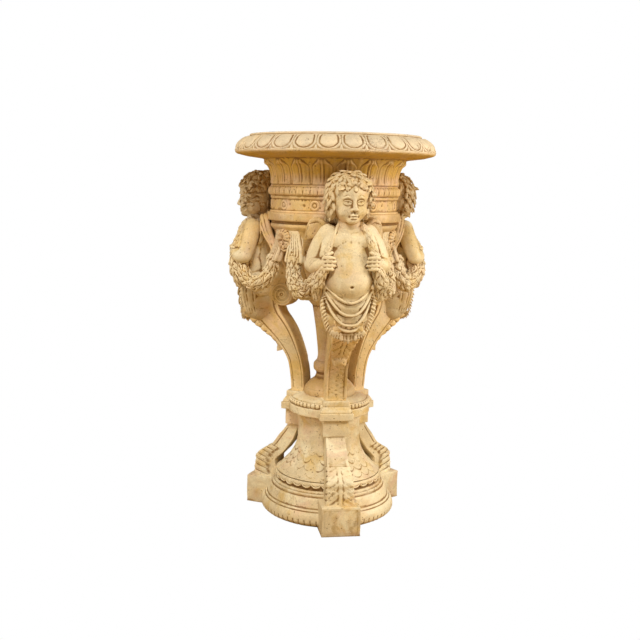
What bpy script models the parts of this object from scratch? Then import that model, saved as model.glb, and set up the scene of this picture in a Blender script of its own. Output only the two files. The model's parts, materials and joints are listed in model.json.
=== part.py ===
import math

import bmesh
import bpy
import numpy as np
from mathutils import Matrix, Vector

# Overall sizes in metres
base_height = 0.4188
stand_height = 0.6261
basin_height = 0.2545
seat_gap = 0.0003
thirds = 3

# Upper basin
basin_segments = 54
rim_radius = 0.338
rim_height = 0.0573
lip_height = 0.0065
lip_radius = 0.2896
neck_radius = 0.2145
frieze_height = 0.0475
egg_count = 27
egg_relief = 0.0035
leaf_count = 18
leaf_relief = 0.003
wall = 0.030
floor_thickness = 0.0325

# Figure stand
urn_segments = 36
fascia_radius = 0.2245
head_clearance = 0.0017
leg_half_width = 0.0370
volute_radius = 0.041
volute_overhang = 0.003
stem_radius = 0.0445
knob_radius = 0.0560
stem_foot_radius = 0.0895
voxel = 0.0060
figure_faces = 1500

# Base
base_segments = 42
ring_radius = 0.233
ring_clearance = 0.008
ring_height = 0.045
band_height = 0.046
foot_reach = 0.286
foot_half_width = 0.0655
foot_height = 0.0985
cap_reach = 0.1477
cap_half_width = 0.0436
cap_height = 0.057
core_radius = 0.108
slab_height = 0.0638
slab_reach = 0.1596
slab_half_width = 0.0580
step_in = 0.006
plate_radius = 0.1410
bracket_half_width = 0.0365

# Levels that follow from the sizes
stand_foot_z = base_height + seat_gap
stand_top_z = stand_foot_z + stand_height
basin_seat_z = stand_top_z + seat_gap
height = basin_seat_z + basin_height
slab_bottom_z = base_height - slab_height
cap_bottom_z = slab_bottom_z - cap_height
head_back_radius = max(fascia_radius, neck_radius + 0.0095) + head_clearance

# The stand is drawn at these heights and this reach, and keeps its proportions at any size
drawn_foot_z = 0.4191
drawn_top_z = 1.0452
drawn_reach = 0.2245


def level(z):
    return stand_foot_z + (z - drawn_foot_z) * stand_height / (drawn_top_z - drawn_foot_z)


def reach(r):
    return r * fascia_radius / drawn_reach


def clear_scene():
    for ob in list(bpy.data.objects):
        bpy.data.objects.remove(ob)


def stone(name, colour, roughness):
    mat = bpy.data.materials.new(name)
    mat.use_nodes = True
    shader = mat.node_tree.nodes["Principled BSDF"]
    shader.inputs["Base Color"].default_value = (*colour, 1.0)
    shader.inputs["Roughness"].default_value = roughness
    return mat


def add_object(name, bm, helper=False):
    bmesh.ops.recalc_face_normals(bm, faces=bm.faces)
    mesh = bpy.data.meshes.new(name)
    bm.to_mesh(mesh)
    bm.free()
    ob = bpy.data.objects.new(name, mesh)
    bpy.context.scene.collection.objects.link(ob)
    if helper:
        ob.hide_render = True
        ob.display_type = "WIRE"
    return ob


def bake(ob):
    # the object keeps its evaluated mesh and loses its modifiers
    deps = bpy.context.evaluated_depsgraph_get()
    mesh = bpy.data.meshes.new_from_object(ob.evaluated_get(deps))
    ob.modifiers.clear()
    ob.data = mesh
    return ob


def unite(ob, others, operation="UNION"):
    for other in others:
        mod = ob.modifiers.new("join", "BOOLEAN")
        mod.operation = operation
        mod.solver = "EXACT"
        mod.object = other
        bake(ob)
        bpy.data.objects.remove(other)
    return ob


def lathe(profile, segments, closed=False):
    # profile is a list of (radius, height), turned about the vertical axis
    bm = bmesh.new()
    verts = [bm.verts.new((r, 0.0, z)) for r, z in profile]
    edges = [bm.edges.new(pair) for pair in zip(verts, verts[1:])]
    if closed:
        edges.append(bm.edges.new((verts[-1], verts[0])))
    bmesh.ops.spin(bm, geom=verts + edges, cent=(0, 0, 0), axis=(0, 0, 1), angle=math.tau,
                   steps=segments, use_merge=True, use_duplicate=False)
    bmesh.ops.remove_doubles(bm, verts=bm.verts, dist=1e-6)
    return bm


def slab_from_stations(outer, inner, half_width):
    # pairs of outer and inner (reach, height) points, with a half width number or a function of height
    bm = bmesh.new()
    width = half_width if callable(half_width) else (lambda z: half_width)
    rings = []
    for far, near in zip(outer, inner):
        corners = ((-1, far), (1, far), (1, near), (-1, near))
        rings.append([bm.verts.new((side * width(p[1]), -p[0], p[1])) for side, p in corners])
    for a, b in zip(rings, rings[1:]):
        for i in range(4):
            j = (i + 1) % 4
            bm.faces.new((a[i], a[j], b[j], b[i]))
    bm.faces.new(rings[0])
    bm.faces.new(list(reversed(rings[-1])))
    return bm


def block(x_half, near, far, low, high):
    bm = bmesh.new()
    size = Vector((2 * x_half, far - near, high - low))
    mid = Vector((0, -(far + near) / 2, (high + low) / 2))
    bmesh.ops.create_cube(bm, size=1.0, matrix=Matrix.Translation(mid) @ Matrix.Diagonal((*size, 1)))
    return bm


def turned_copies(bm, name):
    # three copies about the vertical axis
    obs = []
    for k in range(thirds):
        copy = bm.copy()
        bmesh.ops.rotate(copy, verts=copy.verts, cent=(0, 0, 0),
                         matrix=Matrix.Rotation(k * math.tau / thirds, 3, "Z"))
        obs.append(add_object(f"{name}_{k}", copy, helper=True))
    bm.free()
    return obs


def ball(bm, centre, radii, turn=(0, 0, 0), detail=3):
    m = Matrix.Translation(centre)
    for axis, angle in zip("XYZ", turn):
        m = m @ Matrix.Rotation(math.radians(angle), 4, axis)
    m = m @ Matrix.Diagonal((*radii, 1))
    bmesh.ops.create_icosphere(bm, subdivisions=detail, radius=1.0, matrix=m)


def limb(bm, points, radii, sides=12):
    # round tapered lengths with a ball at each joint
    for p, r in zip(points, radii):
        ball(bm, p, (r, r, r), detail=2)
    for (p, q), (a, b) in zip(zip(points, points[1:]), zip(radii, radii[1:])):
        p, q = Vector(p), Vector(q)
        along = q - p
        m = Matrix.Translation((p + q) / 2) @ along.to_track_quat("Z", "Y").to_matrix().to_4x4()
        bmesh.ops.create_cone(bm, cap_ends=True, segments=sides, radius1=a, radius2=b,
                              depth=along.length, matrix=m)


def strip(bm, centres, normals, half_widths, thick, bulge=0.0):
    # a flat blade swept along its centre line; bulge lifts the middle of its width
    rings = []
    columns = (-1.0, -0.5, 0.0, 0.5, 1.0)
    for c, n, w in zip(centres, normals, half_widths):
        c, n = Vector(c), Vector(n).normalized()
        side = Vector((1, 0, 0))
        front = [c + side * w * u + n * (thick / 2 + bulge * (1 - u * u)) for u in columns]
        back = [c + side * w * u - n * thick / 2 for u in reversed(columns)]
        rings.append([bm.verts.new(p) for p in front + back])
    for a, b in zip(rings, rings[1:]):
        for i in range(len(a)):
            j = (i + 1) % len(a)
            bm.faces.new((a[i], a[j], b[j], b[i]))
    bm.faces.new(rings[0])
    bm.faces.new(list(reversed(rings[-1])))


def polar(azimuth, radius, z):
    # azimuth 0 faces the front, positive to the right
    a = math.radians(azimuth)
    return (radius * math.sin(a), -radius * math.cos(a), z)


def smooth_path(points, count):
    # Catmull-Rom points through the given ones
    pts = np.array([points[0], *points, points[-1]], float)
    spans = len(points) - 1
    out = []
    for i in range(count):
        t = i / (count - 1) * spans
        k = min(int(t), spans - 1)
        u = t - k
        a, b, c, d = pts[k:k + 4]
        out.append(0.5 * (2 * b + (c - a) * u + (2 * a - 5 * b + 4 * c - d) * u * u
                          + (3 * b - a - 3 * c + d) * u ** 3))
    return [tuple(p) for p in out]


def urn_radius(z):
    levels = [0.728, 0.75, 0.79, 0.84, 0.89, 0.94, 0.9655, 0.985, 1.0455]
    radii = [0.066, 0.086, 0.122, 0.156, 0.178, 0.190, 0.194, 0.204, 0.2245]
    return float(np.interp(z, levels, radii))


def head(bm):
    ball(bm, (0, -0.292, 1.102), (0.060, 0.060, 0.074))
    # hair mass with curls round the brow and beside the cheeks
    ball(bm, (0, -0.284, 1.124), (0.073, 0.062, 0.060))
    ball(bm, (0, -0.262, 1.092), (0.066, 0.045, 0.060))
    for i in range(9):
        a = math.radians(-88 + 22 * i)
        curl = (0.062 * math.sin(a), -0.300 - 0.026 * math.cos(a), 1.118 + 0.040 * math.cos(a))
        ball(bm, curl, (0.0165, 0.0150, 0.0165), detail=2)
    for side in (-1, 1):
        ball(bm, (side * 0.064, -0.288, 1.098), (0.017, 0.022, 0.022), detail=2)
        ball(bm, (side * 0.060, -0.284, 1.066), (0.015, 0.022, 0.020), detail=2)
        ball(bm, (side * 0.026, -0.326, 1.068), (0.025, 0.024, 0.024), detail=2)
        ball(bm, (side * 0.022, -0.341, 1.106), (0.018, 0.008, 0.006), detail=2)
    ball(bm, (0, -0.334, 1.044), (0.018, 0.018, 0.015), detail=2)
    ball(bm, (0, -0.346, 1.060), (0.014, 0.008, 0.006), detail=2)
    limb(bm, [(0, -0.345, 1.100), (0, -0.353, 1.078)], [0.006, 0.0085], sides=8)
    limb(bm, [(0, -0.285, 1.050), (0, -0.275, 0.985)], [0.036, 0.042])


def torso(bm):
    ball(bm, (0, -0.272, 0.958), (0.082, 0.066, 0.072))
    ball(bm, (0, -0.288, 0.872), (0.077, 0.072, 0.080))
    ball(bm, (0, -0.300, 0.850), (0.062, 0.066, 0.060))
    ball(bm, (0, -0.278, 0.800), (0.082, 0.066, 0.060))
    for side in (-1, 1):
        ball(bm, (side * 0.034, -0.312, 0.968), (0.034, 0.022, 0.030), detail=2)
    # solid stone behind the figure runs back into the urn
    ball(bm, (0, -0.225, 0.900), (0.066, 0.075, 0.130))


def arms(bm):
    for side in (-1, 1):
        ball(bm, (side * 0.076, -0.276, 0.988), (0.033, 0.036, 0.034))
        limb(bm, [(side * 0.080, -0.276, 0.985), (side * 0.101, -0.272, 0.940), (side * 0.110, -0.278, 0.900)],
             [0.033, 0.032, 0.029])
        limb(bm, [(side * 0.110, -0.280, 0.899), (side * 0.098, -0.322, 0.897), (side * 0.076, -0.355, 0.903)],
             [0.029, 0.028, 0.021])
        ball(bm, (side * 0.070, -0.362, 0.905), (0.020, 0.019, 0.022), detail=2)
        for i in range(4):
            z = 0.924 - 0.013 * i
            reach = 0.041 if i < 3 else 0.047
            limb(bm, [(side * 0.074, -0.372, z), (side * 0.058, -0.378, z - 0.001), (side * reach, -0.364, z)],
                 [0.0075, 0.0075, 0.0065], sides=8)


def drapery(bm):
    # wrapped hips and hanging folds, narrower towards the hem
    ball(bm, (0, -0.280, 0.775), (0.083, 0.068, 0.060))
    ball(bm, (0, -0.276, 0.730), (0.073, 0.063, 0.055))
    for depth, low, spread in ((0.352, 0.792, 0.074), (0.350, 0.758, 0.070), (0.345, 0.728, 0.064),
                               (0.336, 0.702, 0.056)):
        pts = []
        for i in range(7):
            u = -1 + i / 3
            pts.append((spread * u, -depth + 0.048 * u * u, low + 0.042 * u * u))
        limb(bm, pts, [0.008, 0.0095, 0.011, 0.012, 0.011, 0.0095, 0.008], sides=8)
    for side in (-1, 1):
        for i in range(3):
            x = side * (0.070 + 0.008 * (i % 2))
            limb(bm, [(x, -0.300 + 0.018 * i, 0.815), (side * 0.066, -0.302 + 0.014 * i, 0.745),
                      (side * 0.056, -0.296 + 0.012 * i, 0.680)], [0.010, 0.011, 0.008], sides=8)


def wings(bm):
    for side in (-1, 1):
        limb(bm, [polar(side * 17, 0.238, 1.012), polar(side * 23, 0.238, 1.030), polar(side * 29, 0.236, 1.018)],
             [0.018, 0.019, 0.015])
        for i in range(5):
            a = 20 + 3.2 * i
            low = 0.985 - 0.017 * i
            pts = [polar(side * a, 0.233, 1.020), polar(side * (a + 2), urn_radius(0.98) + 0.018, 0.975),
                   polar(side * (a + 3.5), urn_radius(low - 0.02) + 0.014, low - 0.020)]
            limb(bm, pts, [0.014, 0.013, 0.008], sides=8)


def garlands(bm):
    for side in (-1, 1):
        knots = [(-59, 0.214, 0.915), (-55, 0.222, 0.865), (-47, 0.238, 0.815), (-37, 0.258, 0.790),
                 (-27, 0.288, 0.795), (-18, 0.325, 0.830), (-12.5, 0.360, 0.880)]
        path = smooth_path([polar(-side * a, r, z) for a, r, z in knots], 13)
        widths = [0.012 + 0.017 * math.sin(math.pi * min(1, i / 11)) ** 0.7 for i in range(13)]
        limb(bm, path, widths, sides=10)
        for i, (p, w) in enumerate(zip(path[1:-1], widths[1:-1])):
            turn = 2.4 * i
            off = Vector((side * math.cos(turn) * 0.55, -abs(math.cos(turn + 1)) * 0.6, math.sin(turn) * 0.55))
            ball(bm, Vector(p) + off * w, (w * 0.62, w * 0.62, w * 0.62), detail=2)
        # leaf tail hanging under the hand
        limb(bm, [(side * 0.078, -0.352, 0.885), (side * 0.088, -0.330, 0.840), (side * 0.094, -0.312, 0.782)],
             [0.018, 0.021, 0.012])
        # leafy scarf from the neck down to the hand
        scarf = smooth_path([(side * 0.030, -0.300, 1.024), (side * 0.046, -0.322, 1.000),
                             (side * 0.058, -0.340, 0.960), (side * 0.066, -0.358, 0.925)], 7)
        limb(bm, scarf, [0.012, 0.012, 0.011, 0.011, 0.011, 0.011, 0.011], sides=8)


def leg_leaf(bm):
    # curled leaf over the top of the leg, its tip rolled outwards
    line = [(0.300, 0.745), (0.322, 0.712), (0.312, 0.684), (0.282, 0.656), (0.248, 0.630), (0.216, 0.606),
            (0.192, 0.582), (0.186, 0.566)]
    widths = [0.040, 0.046, 0.050, 0.050, 0.046, 0.038, 0.026, 0.012]
    centres = []
    normals = []
    for i, (r, z) in enumerate(line):
        a = line[max(i - 1, 0)]
        b = line[min(i + 1, len(line) - 1)]
        tangent = Vector((0, -(b[0] - a[0]), b[1] - a[1])).normalized()
        centres.append((0, -r, z))
        normals.append(tangent.cross(Vector((1, 0, 0))) * -1)
    strip(bm, centres, normals, widths, 0.018, bulge=0.006)
    ball(bm, (0, -0.193, 0.566), (0.016, 0.012, 0.010), detail=2)


def boss(bm):
    # rosette over a small volute with a knotted ribbon, halfway between the figures
    ball(bm, polar(60, 0.206, 0.968), (0.020, 0.020, 0.020), detail=2)
    for i in range(6):
        a = math.tau * i / 6
        mid = Vector(polar(60 + math.degrees(math.cos(a) * 0.016 / 0.206), 0.207, 0.968 + 0.016 * math.sin(a)))
        ball(bm, mid, (0.0095, 0.0095, 0.0095), detail=2)
    limb(bm, [polar(54.5, 0.204, 0.930), polar(65.5, 0.204, 0.930)], [0.017, 0.017])
    ball(bm, polar(60, 0.212, 0.905), (0.014, 0.014, 0.016), detail=2)
    limb(bm, [polar(60, 0.196, 0.960), polar(60, 0.188, 0.900)], [0.020, 0.018])


def leg_stations():
    outer = [(0.2350, 0.8550), (0.2900, 0.7700), (0.3080, 0.7120), (0.2980, 0.6840), (0.2700, 0.6570),
             (0.2360, 0.6280), (0.2040, 0.6020), (0.1760, 0.5720), (0.1580, 0.5520), (0.1440, 0.5190),
             (0.1356, 0.4730), (0.1307, 0.4300)]
    inner = [(0.1200, 0.8600), (0.1400, 0.7950), (0.1900, 0.7520), (0.1905, 0.7150), (0.1760, 0.6940),
             (0.1560, 0.6670), (0.1350, 0.6350), (0.1170, 0.5970), (0.1050, 0.5660), (0.0950, 0.5310),
             (0.0870, 0.4890), (0.0830, 0.4430)]
    outer = [(reach(r), level(z)) for r, z in outer]
    inner = [(reach(r), level(z)) for r, z in inner]
    # both faces run on below the seat, where the foot is cut flat
    outer.append((outer[-1][0], stand_foot_z - 0.020))
    inner.append((inner[-1][0], stand_foot_z - 0.020))
    return outer, inner


def stand_profile():
    # lower urn, centre stem with its knob, and the flared foot
    fillet = fascia_radius - 0.0085
    urn = [(0.2050, 0.986), (0.1965, 0.966), (0.1900, 0.940), (0.1780, 0.890), (0.1560, 0.840), (0.1220, 0.790),
           (0.0860, 0.750)]
    return [(0, stand_top_z + 0.006), (fascia_radius, stand_top_z + 0.006), (fascia_radius, level(1.019)),
            (fillet - 0.001, level(1.016)), (fillet - 0.0035, level(1.010)), (fillet, level(1.006)),
            (fillet, level(0.999)), *[(reach(r), level(z)) for r, z in urn],
            (stem_radius + 0.0215, level(0.727)), (stem_radius + 0.0085, level(0.650)),
            (stem_radius, level(0.568)), (stem_radius + 0.0035, level(0.535)), (knob_radius, level(0.525)),
            (knob_radius, level(0.505)), (stem_radius + 0.003, level(0.490)),
            (stem_foot_radius - 0.0165, level(0.459)), (stem_foot_radius - 0.003, level(0.441)),
            (stem_foot_radius, level(0.430)), (stem_foot_radius, stand_foot_z - 0.012),
            (0, stand_foot_z - 0.012)]


def build_stand():
    stand = add_object("figure_stand", lathe(stand_profile(), urn_segments))
    legs = turned_copies(slab_from_stations(*leg_stations(), leg_half_width), "leg")
    roll = bmesh.new()
    across = Matrix.Translation((0, -reach(0.172), level(0.757))) @ Matrix.Rotation(math.pi / 2, 4, "Y")
    across = across @ Matrix.Rotation(0.11, 4, "Z")
    bmesh.ops.create_cone(roll, cap_ends=True, segments=19, radius1=volute_radius, radius2=volute_radius,
                          depth=2 * (leg_half_width + volute_overhang), matrix=across)
    rolls = turned_copies(roll, "roll")
    unite(stand, legs + rolls)

    blank = bmesh.new()
    for carve in (head, torso, arms, drapery, wings, garlands, leg_leaf, boss):
        carve(blank)
    stretch = Matrix.Diagonal((reach(1), reach(1), level(1) - level(0), 1))
    lift = Matrix.Translation((0, 0, level(0)))
    bmesh.ops.transform(blank, matrix=lift @ stretch, verts=blank.verts)
    figure = add_object("figure_blank", blank, helper=True)
    mod = figure.modifiers.new("fuse", "REMESH")
    mod.mode = "VOXEL"
    mod.voxel_size = voxel
    bake(figure)
    soften = figure.modifiers.new("soften", "SMOOTH")
    soften.factor = 0.5
    soften.iterations = 2
    bake(figure)
    thin = figure.modifiers.new("thin", "DECIMATE")
    thin.ratio = min(1.0, figure_faces / (2.0 * len(figure.data.polygons)))
    bake(figure)
    shaped = bmesh.new()
    shaped.from_mesh(figure.data)
    bpy.data.objects.remove(figure)
    figures = turned_copies(shaped, "putto")
    unite(stand, figures)

    # the heads stand clear of the basin, and both seats are cut flat
    clear = lathe([(0, stand_top_z), (head_back_radius, stand_top_z), (head_back_radius, height + 0.1),
                   (0, height + 0.1)], urn_segments * 2)
    under = lathe([(0, stand_foot_z - 0.2), (0.5, stand_foot_z - 0.2), (0.5, stand_foot_z), (0, stand_foot_z)], 24)
    unite(stand, [add_object("seat_above", clear, helper=True)], "DIFFERENCE")
    unite(stand, [add_object("seat_below", under, helper=True)], "DIFFERENCE")
    return stand


def build_basin():
    # levels: the joint mouldings, the concave neck and the overhanging rim
    low = basin_seat_z
    band = low + frieze_height
    edge = height - rim_height
    lip = height - lip_height

    def neck_z(share):
        return band + 0.0415 + (edge - 0.0227 - band - 0.0415) * share

    outer = [(neck_radius + 0.0035, low), (neck_radius + 0.0035, low + 0.0045), (neck_radius - 0.0015, low + 0.0075),
             (neck_radius - 0.0015, band - 0.0030), (neck_radius + 0.0020, band), (neck_radius + 0.0020, band + 0.0080),
             (neck_radius + 0.0065, band + 0.0110), (neck_radius + 0.0090, band + 0.0210),
             (neck_radius + 0.0070, band + 0.0340), (neck_radius + 0.0005, neck_z(0)),
             (neck_radius - 0.0010, neck_z(0.19)), (neck_radius, neck_z(0.38)), (neck_radius + 0.0070, neck_z(0.65)),
             (neck_radius + 0.0185, neck_z(0.86)), (neck_radius + 0.0295, neck_z(1)),
             (rim_radius - 0.0380, edge - 0.0147), (rim_radius - 0.0080, edge - 0.0077), (rim_radius, edge),
             (rim_radius - 0.0005, edge + 0.0073), (rim_radius - 0.0090, edge + 0.0233),
             (rim_radius - 0.0240, edge + 0.0373), (lip_radius + 0.0074, lip - 0.0030), (lip_radius, lip),
             (lip_radius, height - 0.0015), (lip_radius - 0.0026, height)]
    mouth = lip_radius - wall
    throat = neck_radius - wall
    floor = low + floor_thickness
    inner = [(mouth + 0.004, height), (mouth, height - 0.003), (throat + (mouth - throat) * 0.66, edge + 0.002),
             (throat + (mouth - throat) * 0.27, edge - 0.028), (throat, neck_z(0.55)), (throat, band + 0.017),
             (throat - 0.0125, floor + 0.008), (throat - 0.0345, floor), (0, floor)]
    bm = lathe([(0, low), *outer, *inner], basin_segments)
    for v in bm.verts:
        r = math.hypot(v.co.x, v.co.y)
        if r < throat + wall * 0.7:
            continue
        angle = math.atan2(v.co.x, -v.co.y)
        push = 0.0
        if edge + 0.004 < v.co.z < lip - 0.001 and r > lip_radius:
            push = egg_relief * math.cos(angle * egg_count)
        elif neck_z(0.1) < v.co.z < neck_z(0.9):
            push = leaf_relief * math.cos(angle * leaf_count)
        elif band + 0.010 < v.co.z < band + 0.036:
            push = 0.001 * math.cos(angle * egg_count)
        v.co.x *= 1 + push / r
        v.co.y *= 1 + push / r
    return add_object("upper_basin", bm)


def build_base():
    torus = ring_clearance + ring_height
    band = torus + band_height
    shoulder = band + 0.010

    def bell_z(share):
        return shoulder + (cap_bottom_z - shoulder) * share

    def bell_r(share):
        return core_radius + (ring_radius - 0.037 - core_radius) * share

    bell = [(0, 0), (ring_radius - 0.026, 0), (ring_radius - 0.022, 0.4 * ring_clearance),
            (ring_radius - 0.011, ring_clearance),
            (ring_radius - 0.0015, ring_clearance + 0.22 * ring_height),
            (ring_radius, ring_clearance + 0.5 * ring_height),
            (ring_radius - 0.003, ring_clearance + 0.8 * ring_height), (ring_radius - 0.009, torus),
            (ring_radius - 0.014, torus + 0.002), (ring_radius - 0.014, torus + 0.008),
            (ring_radius - 0.023, torus + 0.011), (ring_radius - 0.031, band - 0.004), (ring_radius - 0.037, band),
            (ring_radius - 0.037, shoulder), (bell_r(0.886), bell_z(0.021)), (bell_r(0.807), bell_z(0.164)),
            (bell_r(0.705), bell_z(0.249)), (bell_r(0.557), bell_z(0.328)), (bell_r(0.318), bell_z(0.444)),
            (bell_r(0.125), bell_z(0.598)), (bell_r(0.020), bell_z(0.757)), (core_radius, bell_z(0.93)),
            (core_radius, slab_bottom_z + 0.004), (plate_radius - 0.005, slab_bottom_z + 0.001),
            (plate_radius, slab_bottom_z + 0.005), (plate_radius, slab_bottom_z + 0.52 * slab_height),
            (plate_radius - 0.003, slab_bottom_z + 0.61 * slab_height),
            (plate_radius - 0.005, slab_bottom_z + 0.72 * slab_height),
            (plate_radius - 0.018, slab_bottom_z + 0.80 * slab_height), (plate_radius - 0.039, base_height),
            (0, base_height)]
    base = add_object("base", lathe(bell, base_segments))
    feet = turned_copies(block(foot_half_width, ring_radius - 0.083, foot_reach, 0.0, foot_height), "foot")
    caps = turned_copies(block(cap_half_width, 0.040, cap_reach, cap_bottom_z, slab_bottom_z + 0.010), "cap")
    steps = []
    for i, (low, high) in enumerate(((0.0, 0.40), (0.23, 0.716), (0.55, 1.0))):
        near = 0.030 + 0.002 * i
        steps += turned_copies(block(slab_half_width - 0.75 * step_in * i, near, slab_reach - step_in * i,
                                     slab_bottom_z + low * slab_height, slab_bottom_z + high * slab_height), "step")
    # scroll brackets from the caps down to the foot blocks
    drop = cap_bottom_z - foot_height
    spread = foot_reach - 0.0215 - cap_reach
    outer = [(-0.020, 1.048), (-0.020, 0.972), (0.1055, 0.875), (0.2595, 0.767), (0.4530, 0.612), (0.6535, 0.524),
             (0.8075, 0.469), (0.9275, 0.414), (0.9785, 0.358), (0.9615, 0.298), (0.9870, 0.248), (1.0, 0.108),
             (0.9955, -0.043)]
    inner = [(-0.4250, 1.048), (-0.3740, 0.950), (-0.2800, 0.819), (-0.2030, 0.694), (-0.0830, 0.584),
             (0.0455, 0.484), (0.1400, 0.424), (0.2340, 0.363), (0.3200, 0.318), (0.3320, 0.258), (0.3060, 0.208),
             (0.2340, 0.108), (0.1910, -0.043)]
    outer = [(cap_reach + spread * r, foot_height + drop * z) for r, z in outer]
    inner = [(cap_reach + spread * r, foot_height + drop * z) for r, z in inner]

    def bracket_width(z):
        share = (z - foot_height) / drop
        return bracket_half_width + float(np.interp(share, [0.0, 0.32, 0.52, 0.78, 1.0],
                                                    [0.0095, 0.0075, 0.0025, 0.0, -0.0025]))

    brackets = turned_copies(slab_from_stations(outer, inner, bracket_width), "bracket")
    unite(base, feet + caps + steps + brackets)
    return base


def finish(ob, mat):
    bm = bmesh.new()
    bm.from_mesh(ob.data)
    bmesh.ops.remove_doubles(bm, verts=bm.verts, dist=2e-6)
    bmesh.ops.triangulate(bm, faces=bm.faces)
    bmesh.ops.recalc_face_normals(bm, faces=bm.faces)
    bm.to_mesh(ob.data)
    print(ob.name, "faces", len(bm.faces), "open edges", sum(len(e.link_faces) != 2 for e in bm.edges))
    bm.free()
    ob.data.materials.clear()
    ob.data.materials.append(mat)


clear_scene()
finish(build_base(), stone("base_stone", (0.80, 0.69, 0.50), 0.62))
finish(build_stand(), stone("figure_stone", (0.80, 0.64, 0.38), 0.58))
finish(build_basin(), stone("basin_stone", (0.78, 0.60, 0.38), 0.60))
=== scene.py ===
import json
import math
import bmesh
import bpy
import numpy as np
from mathutils import Matrix, Vector

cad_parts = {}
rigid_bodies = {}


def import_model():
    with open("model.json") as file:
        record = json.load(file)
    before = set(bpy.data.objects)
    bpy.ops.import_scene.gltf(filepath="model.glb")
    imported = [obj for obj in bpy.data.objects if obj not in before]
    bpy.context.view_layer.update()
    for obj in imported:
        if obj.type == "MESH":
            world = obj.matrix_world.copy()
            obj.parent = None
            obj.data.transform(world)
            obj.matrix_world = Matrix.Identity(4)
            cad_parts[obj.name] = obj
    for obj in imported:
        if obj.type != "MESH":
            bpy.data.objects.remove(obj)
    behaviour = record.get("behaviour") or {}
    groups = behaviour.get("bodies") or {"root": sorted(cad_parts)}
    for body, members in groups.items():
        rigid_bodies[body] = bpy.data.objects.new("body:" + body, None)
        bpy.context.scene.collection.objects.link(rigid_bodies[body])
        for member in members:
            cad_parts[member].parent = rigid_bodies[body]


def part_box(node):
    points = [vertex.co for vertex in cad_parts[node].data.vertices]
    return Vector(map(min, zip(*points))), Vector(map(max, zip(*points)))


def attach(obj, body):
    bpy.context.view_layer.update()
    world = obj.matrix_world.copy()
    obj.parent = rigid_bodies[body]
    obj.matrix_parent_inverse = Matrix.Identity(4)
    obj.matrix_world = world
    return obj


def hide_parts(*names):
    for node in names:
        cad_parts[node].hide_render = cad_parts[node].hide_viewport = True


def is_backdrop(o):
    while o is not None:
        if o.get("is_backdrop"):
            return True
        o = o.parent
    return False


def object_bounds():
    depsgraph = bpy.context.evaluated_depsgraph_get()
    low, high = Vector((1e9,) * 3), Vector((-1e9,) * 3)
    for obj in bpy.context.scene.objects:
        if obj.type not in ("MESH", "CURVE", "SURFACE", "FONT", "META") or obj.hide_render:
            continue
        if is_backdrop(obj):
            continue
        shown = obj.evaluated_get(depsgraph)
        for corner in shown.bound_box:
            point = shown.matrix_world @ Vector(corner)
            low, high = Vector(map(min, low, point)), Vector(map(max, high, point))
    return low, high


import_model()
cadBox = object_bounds()

# heights from the frame, and the radius to which the backs of the heads are cut, in metres
planter = {
    "baseTop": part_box("base")[1][2],
    "standFoot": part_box("figure_stand")[0][2],
    "basinSeat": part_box("upper_basin")[0][2],
    "top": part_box("upper_basin")[1][2],
    "headBack": 0.2262,
}
# triangles that each piece may keep
faceLimits = {
    "upperBasin": 132000, "baseBody": 136000, "urnCore": 50000, "scrollLeg": 13000, "volute": 5500,
    "legLeaf": 8000,
    "footBlock": 4000, "cap": 2200, "slabStep0": 2300, "slabStep1": 2000, "slabStep2": 1800,
    "bracket": 8000,
    "head": 57000, "body": 26000, "drapery": 28000, "garland": 42000, "wings": 14000, "boss": 5500,
}
rng = np.random.default_rng(7)
stone = {}


# numbers and fields
def valueNoise(p, size, seed=0.0):
    q = p / size + seed * 13.71
    cell = np.floor(q).astype(np.int64)
    f = q - cell
    f = f * f * (3 - 2 * f)

    def corner(dx, dy, dz):
        n = (cell[:, 0] + dx) * 374761393 + (cell[:, 1] + dy) * 668265263 + (cell[:, 2] + dz) * 1274126177
        n = (n ^ (n >> 13)) * 1103515245
        n = n ^ (n >> 16)
        return (n & 0xFFFF) / 32767.5 - 1

    def weight(axis, far):
        return f[:, axis] if far else 1 - f[:, axis]

    total = 0.0
    for dx in (0, 1):
        for dy in (0, 1):
            for dz in (0, 1):
                share = weight(0, dx) * weight(1, dy) * weight(2, dz)
                total = total + share * corner(dx, dy, dz)
    return total


def bump(x, width):
    return np.exp(-(x / width) ** 2)


def ramp(x, a, b):
    t = np.clip((x - a) / (b - a), 0, 1)
    return t * t * (3 - 2 * t)


def resample(points, step):
    pts = np.array(points, float)
    seg = np.hypot(*np.diff(pts, axis=0).T)
    out = [pts[0]]
    for i, length in enumerate(seg):
        n = max(1, int(round(length / step)))
        for k in range(1, n + 1):
            out.append(pts[i] + (pts[i + 1] - pts[i]) * k / n)
    return np.array(out)


def lengthsAlong(points):
    # how far each point lies along the line through the points
    return np.concatenate([[0], np.cumsum(np.linalg.norm(np.diff(points, axis=0), axis=1))])


def solidParts(mesh):
    # points and triangles, ready to be laid into another clay
    mesh.calc_loop_triangles()
    tris = np.empty(len(mesh.loop_triangles) * 3, np.int32)
    mesh.loop_triangles.foreach_get("vertices", tris)
    return readMesh(mesh)[0], tris.reshape(-1, 3)


def curveThrough(points, count):
    pts = np.array([points[0], *points, points[-1]], float)
    t = np.linspace(0, len(points) - 1 - 1e-9, count)
    k = t.astype(int)
    u = (t - k)[:, None]
    a, b, c, d = pts[k], pts[k + 1], pts[k + 2], pts[k + 3]
    square, cube = 2 * a - 5 * b + 4 * c - d, 3 * b - a - 3 * c + d
    return 0.5 * (2 * b + (c - a) * u + square * u ** 2 + cube * u ** 3)


def polar(azimuth, radius, z):
    a = math.radians(azimuth)
    return (radius * math.sin(a), -radius * math.cos(a), z)


def turnedPoints(p, k):
    a = math.tau * k / 3
    c, s = math.cos(a), math.sin(a)
    return np.stack([p[:, 0] * c - p[:, 1] * s, p[:, 0] * s + p[:, 1] * c, p[:, 2]], 1)


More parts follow.
